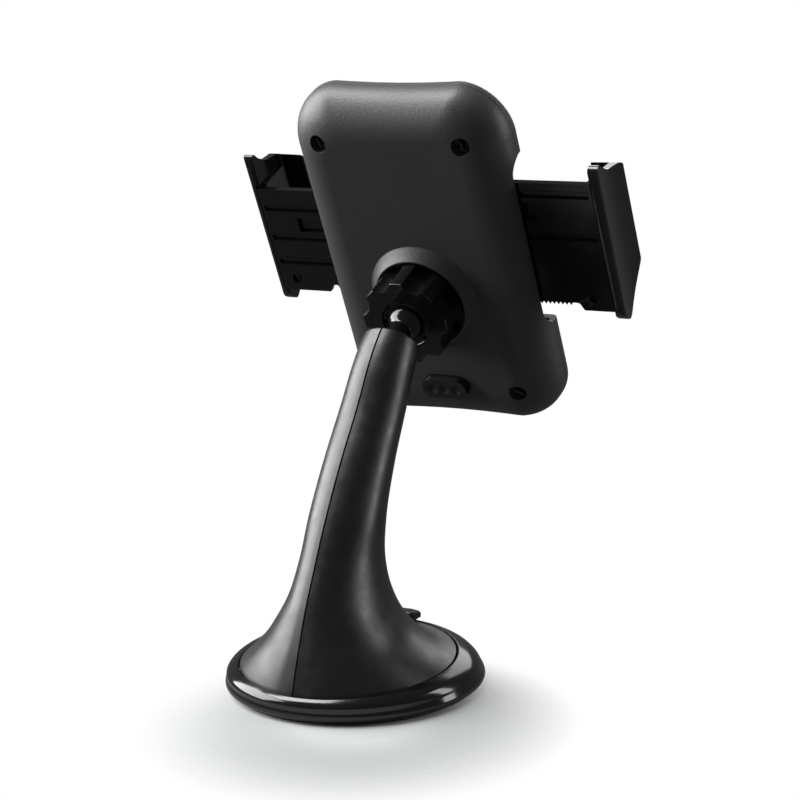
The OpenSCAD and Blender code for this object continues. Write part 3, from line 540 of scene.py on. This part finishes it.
def arm_rows():
    keys = arm_keys()
    rows = [[PLATE_TOP + 0.02, FOOT_BACK, FOOT_RADIUS, FOOT_RADIUS, 0.0]]
    rows += eased_keys(keys, 7)
    height, middle, half, deep, tilt = keys[-1]
    for k in range(1, 7):
        out = math.sin(math.radians(15 * k))
        drawn_in = 1 - math.cos(math.radians(15 * k))
        rows.append([height + out * math.cos(math.radians(tilt)), middle - out * math.sin(math.radians(tilt)),
                     half - drawn_in, deep - drawn_in, tilt + 0.2 * k])
    return rows


def half_ring(row, side, inset, seam):
    """Half an elliptical section, open on the seam plane."""
    height, middle, half, deep, tilt = row
    half, deep = max(half - inset, 0.05), max(deep - inset, 0.05)
    lean = math.radians(tilt)
    points = []
    steps = 44
    for k in range(steps + 1):
        angle = math.radians(-90 + 180 * k / steps)
        across, along = half * math.cos(angle), deep * math.sin(angle)
        if k in (0, steps):
            across = 0.05
            along = math.copysign(max(deep - seam, 0.02), along)
        elif k in (1, steps - 1):
            across = min(0.32, half * 0.5)
            along = math.copysign(deep * math.sqrt(max(0, 1 - (across / half) ** 2)), along)
        points.append((side * across, middle + along * math.cos(lean), height + along * math.sin(lean)))
    return points


def arm_half(name, side, seam):
    rows = arm_rows()
    shell = skinned(name, [half_ring(r, side, 0, seam) for r in rows], row_space())
    inner_rows = [[PLATE_TOP - 1, FOOT_BACK, FOOT_RADIUS, FOOT_RADIUS, 0.0]] + rows[1:52]
    hollow = skinned(name + "_hollow", [
        [(x - side * 0.5, y, z) for x, y, z in half_ring(r, side, ARM_WALL, 0)]
        for r in inner_rows], row_space())
    slot = box_mesh(name + "_slot", (-4.5, -69, PIN_HEIGHT - 4.2), (4.5, -7, PIN_HEIGHT + 19.2), row_space())
    collar = turned(name + "_collar", [(0, BALL_OUT + 14.9), (4.45, BALL_OUT + 14.9), (4.45, BALL_OUT + 22),
                                       (0, BALL_OUT + 22)], joint_space(), 48)
    stem = turned(name + "_stem", [(0, 6), (3.55, 6), (3.55, BALL_OUT + 18), (0, BALL_OUT + 18)],
                  joint_space(), 48)
    combine(shell, [hollow, slot, stem, collar], "DIFFERENCE")
    return soften(shell, 0)


class MOUNT_OT_arm(bpy.types.Operator):
    """Build the two half shells of the curved arm, with the seam between them."""
    bl_idname = "mount.arm"
    bl_label = "Arm"

    def execute(self, context):
        seam = context.scene.mount_sizes.seam / MM
        for side, word in ((1, "right"), (-1, "left")):
            node = "arm_shell_" + word
            shell = arm_half("arm_half_" + word, side, seam)
            dress(shell, "satin_black", "base", [node])
        return {"FINISHED"}


def tilted_ring(middle, height, radius, tilt, steps=160):
    lean = math.radians(tilt)
    points = []
    for k in range(steps):
        angle = 2 * math.pi * k / steps
        along = radius * math.sin(angle)
        points.append((radius * math.cos(angle), middle + along * math.cos(lean),
                       height + along * math.sin(lean)))
    return points


class MOUNT_OT_base(bpy.types.Operator):
    """Build the gloss base ring, the rubber cup and the suction lever."""
    bl_idname = "mount.base"
    bl_label = "Base ring, cup and lever"

    def execute(self, context):
        outer = [(1.0, 0.0, 40.4, 0), (1.25, 0.0, 41.1, 0), (1.7, 0.0, 41.55, 0), (2.4, 0.0, 41.8, 0),
                 (3.1, 0.05, 41.72, 0), (4.5, 0.4, 41.2, -0.5), (7.0, 1.72, 40.2, -1.75),
                 (8.8, 3.0, 38.3, -2.8), (9.75, 4.1, 36.4, -3.4), (10.1, 4.3, 35.6, -3.5)]
        rings = [tilted_ring(m, z, r, t) for z, m, r, t in eased_keys(outer, 5)]
        rings += [tilted_ring(FOOT_BACK, 10.02, 35.15, -3.5), tilted_ring(FOOT_BACK, 9.6, 34.86, -3.5),
                  tilted_ring(FOOT_BACK, PLATE_TOP, 34.86, 0), tilted_ring(0, PLATE_TOP - 0.1, 36.2, 0),
                  tilted_ring(0, 1.0, 36.2, 0)]
        ring = soften(skinned("base_ring_gloss", rings, row_space(), loop=True), 0)
        dress(ring, "gloss_black", "base", ["base_ring"])
        cup_profile = [(0, 0), (30, 0), (30.3, 0.25), (30.9, 0.25), (31.2, 0), (33.6, 0), (33.9, 0.2),
                       (34.4, 0.2), (34.7, 0), (39.2, 0), (39.75, 0.2), (40, 0.55), (39.9, 1.0),
                       (36.1, 1.0), (34.8, 3.2), (0, 3.2)]
        cup = soften(turned("suction_cup_rubber", cup_profile, row_space(), 144), 0)
        dress(cup, "rubber", "base", ["suction_cup"])
        lever = copied("suction_lever", "suction_lever_gloss", 0.5, 3)
        dress(lever, "gloss_black", "lever", ["suction_lever"])
        return {"FINISHED"}


# ---------------------------------------------------------------- joint

class MOUNT_OT_joint(bpy.types.Operator):
    """Build the lobed lock nut and the ball with its neck."""
    bl_idname = "mount.joint"
    bl_label = "Lock nut and ball"

    def execute(self, context):
        sizes = context.scene.mount_sizes
        rim = sizes.nut_width / MM / 2
        profile = [(9.9, 2.4), (rim - 1.2, 2.4)]
        profile += arc(rim - 1.2, 3.6, 1.2, -90, 0, 4)[1:]
        profile += [(rim - 0.05, 8), (rim - 0.1, 12)]
        profile += arc(rim - 0.5, 15.6, 0.4, 0, 90, 4)
        profile += [(12.6, 16.0), (10.9, 16.0), (9.4, 16.0)]
        profile += arc(8.65, 15.65, 0.35, 90, 180, 3)
        profile += [(8.3, 15.2), (9.9, 13.2)]
        nut = turned("lock_nut_lobed", profile, joint_space(), 160)
        hollow = 4.9
        pitch = 2 * math.pi / sizes.lobes
        reach = rim - sizes.lobe_depth / MM + hollow
        start = (reach * math.cos(pitch / 2), reach * math.sin(pitch / 2), 8)
        combine(nut, [repeated("lobe_hollows", "rod", "gloss_black", joint_space(), sizes.lobes, start,
                               size=(2 * hollow, 2 * hollow, 40), turn=pitch)], "DIFFERENCE")
        soften(nut, 0.42, 3, 24)
        dress(nut, "gloss_black", "lock_nut", ["lock_nut"])
        neck_angle = math.degrees(math.asin(3.5 / 6.5)) + 9
        profile = [(0, BALL_OUT - 6.5)] + arc(0, BALL_OUT, 6.5, -90, 90 - neck_angle, 40)[1:]
        profile += [(3.72, BALL_OUT + 5.7), (3.5, BALL_OUT + 6.5), (3.5, BALL_OUT + 15), (4.4, BALL_OUT + 15),
                    (4.4, BALL_OUT + 17), (3.5, BALL_OUT + 17), (3.5, BALL_OUT + 19.2),
                    (4.4, BALL_OUT + 19.2), (4.4, BALL_OUT + 21.2), (0, BALL_OUT + 21.2)]
        ball = soften(turned("ball_and_neck", profile, joint_space(), 96), 0)
        dress(ball, "gloss_black", "base", ["ball_stud"])
        return {"FINISHED"}


# ---------------------------------------------------------------- cradle shells

def form_ring(sizes, inset, angle, depth, extra=0.0):
    """One outline of the cradle's body at a depth, drawn in by the rounded shoulder."""
    side = inset + sizes["shoulder"] * (1 - math.sin(math.radians(angle))) + extra
    radius = max(sizes["corner"] - 0.45 * side, 5)
    ring = []
    for x, y in evened(round_box(sizes["width"] - 2 * side, sizes["height"] - 2 * side, radius, 14)):
        bow = sizes["crown"] * ((2 * x / sizes["width"]) ** 2 - 0.35)
        ring.append((x, MID_UP + y - math.copysign(bow, y), depth))
    return ring


def body_rings(sizes, inset, back, front, front_round=0.0):
    roll = SPLIT_DEPTH - 0.6
    rings = [form_ring(sizes, inset, a, back + (roll - inset) * (1 - math.cos(math.radians(a))))
             for a in range(0, 91, 5)]
    if front_round:
        for k in range(1, 6):
            a = math.radians(18 * k)
            rings.append(form_ring(sizes, inset, 90, front - front_round + front_round * math.sin(a),
                                   front_round * (1 - math.cos(a))))
        rings.insert(-5, form_ring(sizes, inset, 90, front - front_round))
    else:
        rings.append(form_ring(sizes, inset, 90, front))
    return rings


def slot_cutter(side, sizes):
    """The space at the body's side that a clamp slides through."""
    inner = sizes["width"] / 2 - 11.5
    outline = arc(SLOT_LOW + SLOT_ROUND, SLOT_DEPTH + SLOT_ROUND, SLOT_ROUND, 180, 270, 10)
    outline += arc(SLOT_HIGH - SLOT_ROUND, SLOT_DEPTH + SLOT_ROUND, SLOT_ROUND, 270, 360, 10)
    outline += [(SLOT_HIGH, 40), (SLOT_LOW, 40)]
    low, high = sorted((side * inner, side * 60))
    return side_prism("slot", outline, low, high, cradle_space())


def screw_places(sizes):
    across, up = sizes["width"] / 2 - 12.6, sizes["height"] / 2 - 15.5
    return [(sx * across, MID_UP + sy * up) for sx in (-1, 1) for sy in (-1, 1)]


def shell_sizes(context):
    found = context.scene.mount_sizes
    return {"width": found.body_width / MM, "height": found.body_height / MM, "depth": found.body_depth / MM,
            "shoulder": found.shoulder / MM, "corner": found.corner / MM, "wall": found.wall / MM,
            "crown": found.crown / MM}


def drill(name, x, y, radius, low, high):
    points = [(x + a, y + b) for a, b in arc(0, 0, radius, 0, 360 - 7.5, 47)]
    return prism(name, points, low, high, cradle_space())


class MOUNT_OT_shells(bpy.types.Operator):
    """Build the rear and front shells of the cradle and the boss ring around the nut."""
    bl_idname = "mount.shells"
    bl_label = "Cradle shells"

    def execute(self, context):
        sizes = shell_sizes(context)
        wall = sizes["wall"]
        rear = skinned("rear_shell_textured", body_rings(sizes, 0, 0, SPLIT_DEPTH - 0.12), cradle_space())
        hollow = skinned("hollow", body_rings(sizes, wall, wall, SPLIT_DEPTH + 2), cradle_space())
        cutters = [hollow, slot_cutter(1, sizes), slot_cutter(-1, sizes), drill("bore", 0, 0, 9.9, -3, 6)]
        for x, y in screw_places(sizes):
            cutters.append(drill("counterbore", x, y, 3.1, -1, 3))
        cutters.append(prism("button_window", [(x, y + BUTTON_UP) for x, y in round_box(17.1, 8.0, 3.9, 8)],
                             -1, 6, cradle_space()))
        combine(rear, cutters, "DIFFERENCE")
        soften(rear, 0.18, 2, 40)
        dress(rear, "charcoal", "cradle", ["rear_shell"])

        boss = [(9.9, -0.8), (19.75, -0.8), (19.75, 0.0), (19.35, 0.28)]
        boss += [(16.75, 3.6)] + arc(16.25, 3.65, 0.45, 20, 160, 5) + [(15.85, 3.5), (15.85, 1.0), (9.9, 1.0)]
        ring = soften(turned("boss_ring_textured", boss, joint_space(), 160), 0)
        dress(ring, "charcoal", "cradle")

        posts = []
        for k, (x, y) in enumerate(screw_places(sizes)):
            profile = [(1.15, 3.0), (3.1, 3.0), (3.1, 2.2), (3.88, 2.2), (3.88, SPLIT_DEPTH - 0.2),
                       (1.15, SPLIT_DEPTH - 0.2)]
            post = turned(f"screw_post_{k}", profile, cradle_space() @ Matrix.Translation((x, y, 0)), 32)
            posts.append(post)
        first = posts[0]
        combine(first, posts[1:], "UNION")
        first.name = "screw_posts"
        dress(soften(first, 0), "charcoal", "cradle")

        front = skinned("front_shell_textured", body_rings(sizes, 0, 0, sizes["depth"], 2.0), cradle_space())
        hollow = skinned("hollow", body_rings(sizes, wall, wall, sizes["depth"] - wall), cradle_space())
        back_cut = box_mesh("back_cut", (-90, -110, -30), (90, 130, SPLIT_DEPTH + 0.12), cradle_space())
        combine(front, [hollow, back_cut, slot_cutter(1, sizes), slot_cutter(-1, sizes)], "DIFFERENCE")
        soften(front, 0.18, 2, 40)
        dress(front, "charcoal", "cradle", ["front_shell"])
        return {"FINISHED"}


# ---------------------------------------------------------------- clamps, button and pads

JAW_REACH = 65.7
JAW_WALL = 2.4
JAW_LOW, JAW_HIGH = -14.4, 44.4
JAW_BACK, JAW_FRONT = 6.0, 32.2
# Depth at which a jaw is widest, from its back
JAW_KNEE = 10.8
# Which side, depth of the plate, its top, its grooves and where its teeth end
CLAMPS = (("left", -1, BACK_LAYER, 39.6, (35.2, 19.6), 51.0),
          ("right", 1, FRONT_LAYER, 32.4, (24.9, 13.3, 3.6), 43.0))
TOOTH_PITCH = 1.5


def smooth_loop(keys, steps):
    """A closed curve through the keys."""
    found = []
    count = len(keys)
    for i in range(count):
        a, b, c, d = (Vector(keys[(i + k) % count]) for k in (-1, 0, 1, 2))
        span = (c - b).length
        into = (c - a) * (span / max((b - a).length + span, 1e-6))
        out = (d - b) * (span / max((d - c).length + span, 1e-6))
        for k in range(steps):
            t = k / steps
            found.append(tuple((2 * t ** 3 - 3 * t ** 2 + 1) * b + (t ** 3 - 2 * t ** 2 + t) * into
                               + (3 * t ** 2 - 2 * t ** 3) * c + (t ** 3 - t ** 2) * out))
    return found


def jaw_mesh(name, side, back):
    """A jaw: a curved wall with a soft crease in its outer face and a lip that hooks over the phone."""
    low, high, deep = JAW_LOW, JAW_HIGH, JAW_FRONT - JAW_BACK
    keys = ((low + 8.8, 0), (low + 5.2, 1.2), (low + 2.4, 4), (low + 0.6, 7.6), (low, JAW_KNEE),
            (low + 1.4, 13.2), (low + 8, 19.4), (low + 14.6, deep - 1.2), (low + 17.4, deep),
            (high - 24, deep), (high - 11.2, deep), (high - 9.4, deep - 1.2), (high - 7.4, 22.4),
            (high - 6.6, 19.2), (high - 5.4, 14.6), (high - 2.6, 10.9), (high - 0.5, 7.4), (high, 5.0),
            (high - 0.9, 2.6), (high - 4, 1), (high - 10, 0.3), (high - 21, 0))
    squeeze = (JAW_BACK + JAW_KNEE - back) / JAW_KNEE
    outline = [(u, back + d * squeeze if d < JAW_KNEE else JAW_BACK + d) for u, d in smooth_loop(keys, 5)]
    inner, outer = sorted((side * (JAW_REACH - 16), side * (JAW_REACH + 1)))
    shell = side_prism(name, outline, inner, outer, cradle_space())
    crease = JAW_FRONT - 2 - back - JAW_WALL
    plan = arc(-JAW_WALL, back + JAW_WALL, JAW_WALL, 270, 360, 8)
    plan += [(-0.9 * math.sin(math.pi * k / 14), back + JAW_WALL + crease * k / 14) for k in range(1, 14)]
    plan += arc(-2, JAW_FRONT - 2, 2, 0, 90, 8)
    plan += [(-11, JAW_FRONT), (-11.5, JAW_FRONT - 0.4), (-11.5, JAW_FRONT - 1.3), (-11, JAW_FRONT - 1.8)]
    plan += [(-3.9, JAW_FRONT - JAW_WALL - 0.1), (-3.35, JAW_FRONT - JAW_WALL - 0.9), (-3.35, back + 1.5)]
    rings = [[(side * (JAW_REACH + x), u, d) for x, d in plan] for u in (low - 5, high + 5)]
    combine(shell, [skinned("plan", rings, cradle_space())], "INTERSECT")
    return soften(shell, 0.3, 2, 40)


class MOUNT_OT_clamps(bpy.types.Operator):
    """Build the two clamps: ribbed plates with rows of teeth, curved jaws and rubber pads."""
    bl_idname = "mount.clamps"
    bl_label = "Clamps"

    def execute(self, context):
        for word, side, layer, top, grooves, teeth_end in CLAMPS:
            plate = copied(word + "_clamp", word + "_clamp_gloss", 0)
            root, away = JAW_REACH - 3.4, JAW_REACH + 5
            cuts = []
            for low, high in (((root, -30, 0), (away, -8.02, 40)), ((root, top, 0), (away, 60, 40)),
                              ((JAW_REACH - 2.7, -30, 0), (away, 60, 40)),
                              ((JAW_REACH - 16, -30, 14.1), (away, 60, 40)),
                              ((-30, -9, 5), (teeth_end - 0.4, -5.2, 20))):
                across = sorted((side * low[0], side * high[0]))
                cuts.append(box_mesh("cut", (across[0], *low[1:]), (across[1], *high[1:]), cradle_space()))
            combine(plate, cuts, "DIFFERENCE")
            count = int((teeth_end - 5.2) / TOOTH_PITCH)
            quarter_turn = Matrix.Rotation(-math.pi / 2, 4, "Z")
            teeth = repeated("teeth", "tooth", "gloss_black", cradle_space() @ quarter_turn, count,
                             (5.334, side * 4.5, layer + 1), (0, side * TOOTH_PITCH, 0), (1.732, 1.732, 2))
            rails = [repeated("rails", "block", "gloss_black", cradle_space(), 2,
                              (side * 47.4, g - 1.3, layer - 0.02), (0, 2.6, 0), (28.6, 0.6, 0.3))
                     for g in grooves]
            combine(plate, [teeth, *rails, jaw_mesh(word + "_jaw", side, layer)], "UNION")
            soften(plate, 0, square_to=cradle_space())
            dress(plate, "gloss_black", word + "_clamp", [word + "_clamp"])
            pad = copied(word + "_jaw_pad", word + "_jaw_pad_rubber", 0.35, 3)
            dress(pad, "rubber", word + "_clamp", [word + "_jaw_pad"])
        return {"FINISHED"}


class MOUNT_OT_small_parts(bpy.types.Operator):
    """Build the release button and the ribbed front pad."""
    bl_idname = "mount.small_parts"
    bl_label = "Button and front pad"

    def execute(self, context):
        button = copied("release_button", "release_button_satin", 0)
        outline = [(x, y + BUTTON_UP) for x, y in round_box(16.48, 7.38, 3.6, 10)]
        fill = prism("fill", outline, -3, 0.5, cradle_space())
        combine(button, [fill], "UNION")
        dimples = repeated("dimples", "ball", "satin_black", cradle_space(), 3, (-4.4, BUTTON_UP, -5.6),
                           (4.4, 0, 0), (6.4, 6.4, 6.4))
        combine(button, [dimples], "DIFFERENCE")
        soften(button, 0.45, 3, 28)
        dress(button, "satin_black", "release_button", ["release_button"])
        pad = copied("front_pad", "front_pad_rubber", 0.25, 2)
        dress(pad, "rubber", "cradle", ["front_pad"])
        return {"FINISHED"}


# ---------------------------------------------------------------- screws

def screw_tree(finish):
    """Cross-head screws on the points they are given, heads along one direction."""
    tree, given, names = start_tree("screws", (
        ("Head radius", "Float", 1.65 * MM), ("Head height", "Float", 1.3 * MM),
        ("Shank radius", "Float", 1.0 * MM), ("Shank length", "Float", 11.0 * MM),
        ("Direction", "Rotation", None)))

    def scaled(label, factor):
        made = add_node(tree, "ShaderNodeMath", {0: given[label], 1: factor}, operation="MULTIPLY")
        return made.outputs[0]

    def along_z(length):
        return add_node(tree, "ShaderNodeCombineXYZ", {"Z": length}).outputs[0]

    disc = add_node(tree, "GeometryNodeMeshCircle", {"Vertices": 40, "Radius": given["Head radius"]},
                    fill_type="NGON")
    mesh = disc.outputs["Mesh"]
    top = {}
    for rise, shrink in ((0.62, 1.0), (0.22, 0.93), (0.12, 0.86), (0.04, 0.8)):
        raised = add_node(tree, "GeometryNodeExtrudeMesh", {
            "Individual": False, "Mesh": mesh, "Offset": along_z(scaled("Head height", rise)),
            "Offset Scale": 1.0, **top}, mode="FACES")
        top = {"Selection": raised.outputs["Top"]}
        mesh = add_node(tree, "GeometryNodeScaleElements", {
            "Geometry": raised.outputs["Mesh"], "Scale": shrink, **top}).outputs["Geometry"]

    blades = tree.nodes.new("GeometryNodeJoinGeometry")
    for quarter in (0, 1):
        size = add_node(tree, "ShaderNodeCombineXYZ", {
            "X": scaled("Head radius", 1.15), "Y": scaled("Head radius", 0.27),
            "Z": scaled("Head height", 1.3)})
        blade = add_node(tree, "GeometryNodeMeshCube", {"Size": size.outputs[0]})
        place = add_node(tree, "GeometryNodeTransform", {
            "Rotation": (0, 0, math.pi / 2 * quarter), "Translation": along_z(scaled("Head height", 1.05)),
            "Geometry": blade.outputs["Mesh"]})
        tree.links.new(place.outputs["Geometry"], blades.inputs["Geometry"])
    recess = add_node(tree, "GeometryNodeMeshBoolean", operation="DIFFERENCE")
    tree.links.new(mesh, recess.inputs["Mesh 1"])
    tree.links.new(blades.outputs["Geometry"], recess.inputs["Mesh 2"])

    shank = add_node(tree, "GeometryNodeMeshCylinder", {
        "Vertices": 24, "Radius": given["Shank radius"], "Depth": given["Shank length"]})
    drop = add_node(tree, "GeometryNodeTransform", {
        "Translation": along_z(scaled("Shank length", -0.5)), "Geometry": shank.outputs["Mesh"]})
    whole = tree.nodes.new("GeometryNodeJoinGeometry")
    for part in (recess.outputs["Mesh"], drop.outputs["Geometry"]):
        tree.links.new(part, whole.inputs["Geometry"])

    spin = add_node(tree, "FunctionNodeRandomValue", data_type="FLOAT")
    spin.inputs["Max"].default_value = math.pi / 2
    spin.inputs["Seed"].default_value = 4
    about = add_node(tree, "FunctionNodeAxisAngleToRotation", {
        "Axis": (0, 0, 1), "Angle": spin.outputs[1]})
    turn = add_node(tree, "FunctionNodeRotateRotation", {
        "Rotation": given["Direction"], "Rotate By": about.outputs["Rotation"]}, rotation_space="LOCAL")
    lay_copies(tree, finish, {
        "Points": given["Geometry"], "Instance": whole.outputs["Geometry"],
        "Rotation": turn.outputs["Rotation"]})
    return tree, names


def lay_screws(name, places, direction, finish, head, rise, length, body, replaced):
    """Screws at places in the row frame, in metres, with their heads towards a direction."""
    tree, names = screw_tree(finish)
    piece = run_tree(name, places, tree, names, {
        "Head radius": head * MM, "Head height": rise * MM, "Shank length": length * MM,
        "Direction": Vector(direction).to_track_quat("Z", "Y").to_euler()})
    soften(piece, 0)
    return dress(piece, finish, body, replaced)


class MOUNT_OT_screws(bpy.types.Operator):
    """Lay the cross-head screws of the shells, the socket and the base."""
    bl_idname = "mount.screws"
    bl_label = "Screws"

    def execute(self, context):
        sizes = shell_sizes(context)
        head = context.scene.mount_sizes.head / MM / 2
        outwards = -PHONE_WARD
        places = [cradle_space() @ Vector((x, y, 3.0)) for x, y in screw_places(sizes)]
        lay_screws("shell_screws_black", places, outwards, "black_screw", head, 1.6, 10.8, "cradle",
                   ["shell_screws"])
        places = [joint_space() @ Vector((12.8 * math.cos(a), 12.8 * math.sin(a), -4.2))
                  for a in [math.radians(45 + 90 * k) for k in range(4)]]
        lay_screws("socket_screws_steel", places, PHONE_WARD, "steel", 1.65, 1.2, 3.6, "cradle",
                   ["socket_screws"])
        places = [Vector((sx * FOOT_RADIUS * 0.56, FOOT_BACK + sy * FOOT_RADIUS * 0.5, 6.0)) * MM
                  for sx in (-1, 1) for sy in (-1, 1)]
        lay_screws("base_screws_steel", places, (0, 0, -1), "steel", 1.85, 0.9, 5.4, "base", ["base_screws"])
        return {"FINISHED"}


# ---------------------------------------------------------------- finishes and stage

# Height of the point that the camera looks at, and its distance aside, in millimetres
VIEW_HEIGHT, VIEW_ASIDE = 92.252, 17.228
# Name, place in metres, width, height and power in watts
LIGHTS = (("wall_left", (1.05, 0.2, 0.55), 1.1, 0.9, 30), ("strip_right", (-0.9, -0.45, 0.35), 0.25, 0.8, 4),
          ("top", (0.46, 0.08, 0.98), 0.5, 0.6, 12), ("front", (0.1, -1.0, 0.6), 0.8, 0.6, 4))
LIGHT_AIM = Vector((0, -0.02, 0.1))
FILL_LIGHT = 0.12
# The floor's grey paint near the mount is a painted shadow round its base, and the real shadows fall on it
# too: where it starts to fade and ends, from its middle, in metres
PAINTED_SHADOW_MIDDLE = (-0.018, 0.03, 0)
PAINTED_SHADOW_START, PAINTED_SHADOW_END = 0.02, 0.068

class MOUNT_OT_finishes(bpy.types.Operator):
    """Make every finish and put it on the CAD nodes that stay."""
    bl_idname = "mount.finishes"
    bl_label = "Finishes"

    def execute(self, context):
        found = context.scene.mount_finishes
        grain = found.grain / MM
        eroded("charcoal", found.charcoal, 0.46, grain, 0.035)
        moulded("satin_black", found.satin, 0.36, 0.5, 0.006)
        moulded("gloss_black", found.gloss, 0.14, 1.6, 0.004, uneven=0.04)
        moulded("rubber", found.rubber, 0.62, 0.6, 0.012)
        moulded("inner_black", found.inner, 0.42, 0.6, 0.006)
        moulded("steel", found.steel, 0.3, 0.35, 0.004, metallic=1.0)
        moulded("black_screw", found.oxide, 0.3, 0.3, 0.004, metallic=0.6)
        moulded("acetal", found.acetal, 0.42, 0.8, 0.005)
        for node, finish in NODE_FINISH.items():
            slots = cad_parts[node].material_slots
            if not slots:
                raise RuntimeError(f"{node} has no material slot")
            for place in slots:
                place.material = bpy.data.materials[finish]
        return {"FINISHED"}


def area_light(name, place, width, height, power):
    data = bpy.data.lights.new(name, "AREA")
    data.shape = "RECTANGLE"
    data.size, data.size_y = width, height
    data.energy = power
    lamp = new_object(name, data)
    lamp.location = place
    lamp.rotation_mode = "QUATERNION"
    lamp.rotation_quaternion = (LIGHT_AIM - Vector(place)).to_track_quat("-Z", "Y")


def painted_shadow_floor(colour):
    """Pale floor that fades out to the backdrop away from the mount; its grey round the base is a painted
    shadow, and the real shadows fall on it too.
    """
    material = bpy.data.materials.new("studio_floor")
    tree = cleared(material)
    place = tree.nodes.new("ShaderNodeTexCoord")
    far = add_node(tree, "ShaderNodeVectorMath", {
        0: place.outputs["Object"], 1: PAINTED_SHADOW_MIDDLE}, operation="DISTANCE")
    # Grey paint near the middle, clear further out: a painted shadow round the base.
    paint = add_node(tree, "ShaderNodeBsdfDiffuse", {"Color": (*colour, 1)})
    clear = tree.nodes.new("ShaderNodeBsdfTransparent")
    mix = add_node(tree, "ShaderNodeMixShader", {
        0: spread(tree, far.outputs["Value"], 1.0, 0.0, PAINTED_SHADOW_START, PAINTED_SHADOW_END), 1: clear.outputs[0],
        2: paint.outputs[0]})
    add_node(tree, "ShaderNodeOutputMaterial", {"Surface": mix.outputs[0]})
    return material


def studio_world():
    """A white backdrop that lights the mount only faintly."""
    world = bpy.data.worlds.new("studio")
    tree = cleared(world)
    lit, seen = [add_node(tree, "ShaderNodeBackground", {"Color": (1, 1, 1, 1), "Strength": strength})
                 for strength in (FILL_LIGHT, 1.0)]
    rays = tree.nodes.new("ShaderNodeLightPath")
    mix = add_node(tree, "ShaderNodeMixShader", {
        0: rays.outputs["Is Camera Ray"], 1: lit.outputs[0], 2: seen.outputs[0]})
    add_node(tree, "ShaderNodeOutputWorld", {"Surface": mix.outputs[0]})
    return world


class MOUNT_OT_stage(bpy.types.Operator):
    """Set the camera, the soft studio light and the pale floor, whose grey round the base is a painted
    shadow.
    """
    bl_idname = "mount.stage"
    bl_label = "Camera, light and floor"

    def execute(self, context):
        studio = context.scene.mount_studio
        turn, rise, roll = studio.azimuth, studio.elevation, studio.roll
        to_camera = Vector((math.sin(turn) * math.cos(rise), -math.cos(turn) * math.cos(rise),
                            math.sin(rise)))
        across = Vector((math.cos(turn), math.sin(turn), 0))
        up = across.cross(-to_camera)
        target = Vector((0, 0, VIEW_HEIGHT)) * MM + across * VIEW_ASIDE * MM
        right = across * math.cos(roll) - up * math.sin(roll)
        top = across * math.sin(roll) + up * math.cos(roll)
        data = bpy.data.cameras.new("camera")
        data.lens = studio.lens
        data.sensor_width = 36
        data.clip_start, data.clip_end = 0.01, 50
        camera = new_object("camera", data)
        spot = target + to_camera * studio.distance
        camera.matrix_world = Matrix((
            (right.x, top.x, to_camera.x, spot.x), (right.y, top.y, to_camera.y, spot.y),
            (right.z, top.z, to_camera.z, spot.z), (0, 0, 0, 1)))
        context.scene.camera = camera

        # The floor's grey round the base is a painted shadow; the real shadows fall on it too.
        floor = prism("studio_floor", arc(0, 0, 700, 0, 357, 119), -2, 0, row_space())
        floor.data.materials.append(painted_shadow_floor(studio.floor))

        for name, place, width, height, power in LIGHTS:
            area_light(name, place, width, height, power * studio.light)
        context.scene.world = studio_world()
        context.scene.view_settings.view_transform = "Standard"
        return {"FINISHED"}


class MOUNT_PT_panel(bpy.types.Panel):
    """Lists the steps that build the mount's looks."""
    bl_idname = "MOUNT_PT_panel"
    bl_label = "Phone Mount"
    bl_space_type = "VIEW_3D"
    bl_region_type = "UI"
    bl_category = "Phone Mount"

    def draw(self, context):
        layout = self.layout
        for group in (context.scene.mount_sizes, context.scene.mount_finishes, context.scene.mount_studio):
            column = layout.column(align=True)
            for name in group.bl_rna.properties.keys():
                if name not in ("rna_type", "name"):
                    column.prop(group, name)
        for operator in STEPS:
            layout.operator(operator.bl_idname)


STEPS = (MOUNT_OT_finishes, MOUNT_OT_base, MOUNT_OT_arm, MOUNT_OT_joint, MOUNT_OT_shells, MOUNT_OT_clamps,
         MOUNT_OT_small_parts, MOUNT_OT_screws, MOUNT_OT_stage)
GROUPS = (("mount_sizes", MountSizes), ("mount_finishes", MountFinishes), ("mount_studio", MountStudio))


def register():
    for _, group in GROUPS:
        bpy.utils.register_class(group)
    for made in STEPS + (MOUNT_PT_panel,):
        bpy.utils.register_class(made)
    for name, group in GROUPS:
        setattr(bpy.types.Scene, name, bpy.props.PointerProperty(type=group))


def unregister():
    for name, _ in GROUPS:
        delattr(bpy.types.Scene, name)
    for made in (MOUNT_PT_panel,) + STEPS[::-1]:
        bpy.utils.unregister_class(made)
    for _, group in GROUPS:
        bpy.utils.unregister_class(group)


def main():
    register()
    for step in (bpy.ops.mount.finishes, bpy.ops.mount.base, bpy.ops.mount.arm, bpy.ops.mount.joint,
                 bpy.ops.mount.shells, bpy.ops.mount.clamps, bpy.ops.mount.small_parts, bpy.ops.mount.screws,
                 bpy.ops.mount.stage):
        step()


if __name__ == "__main__":
    main()
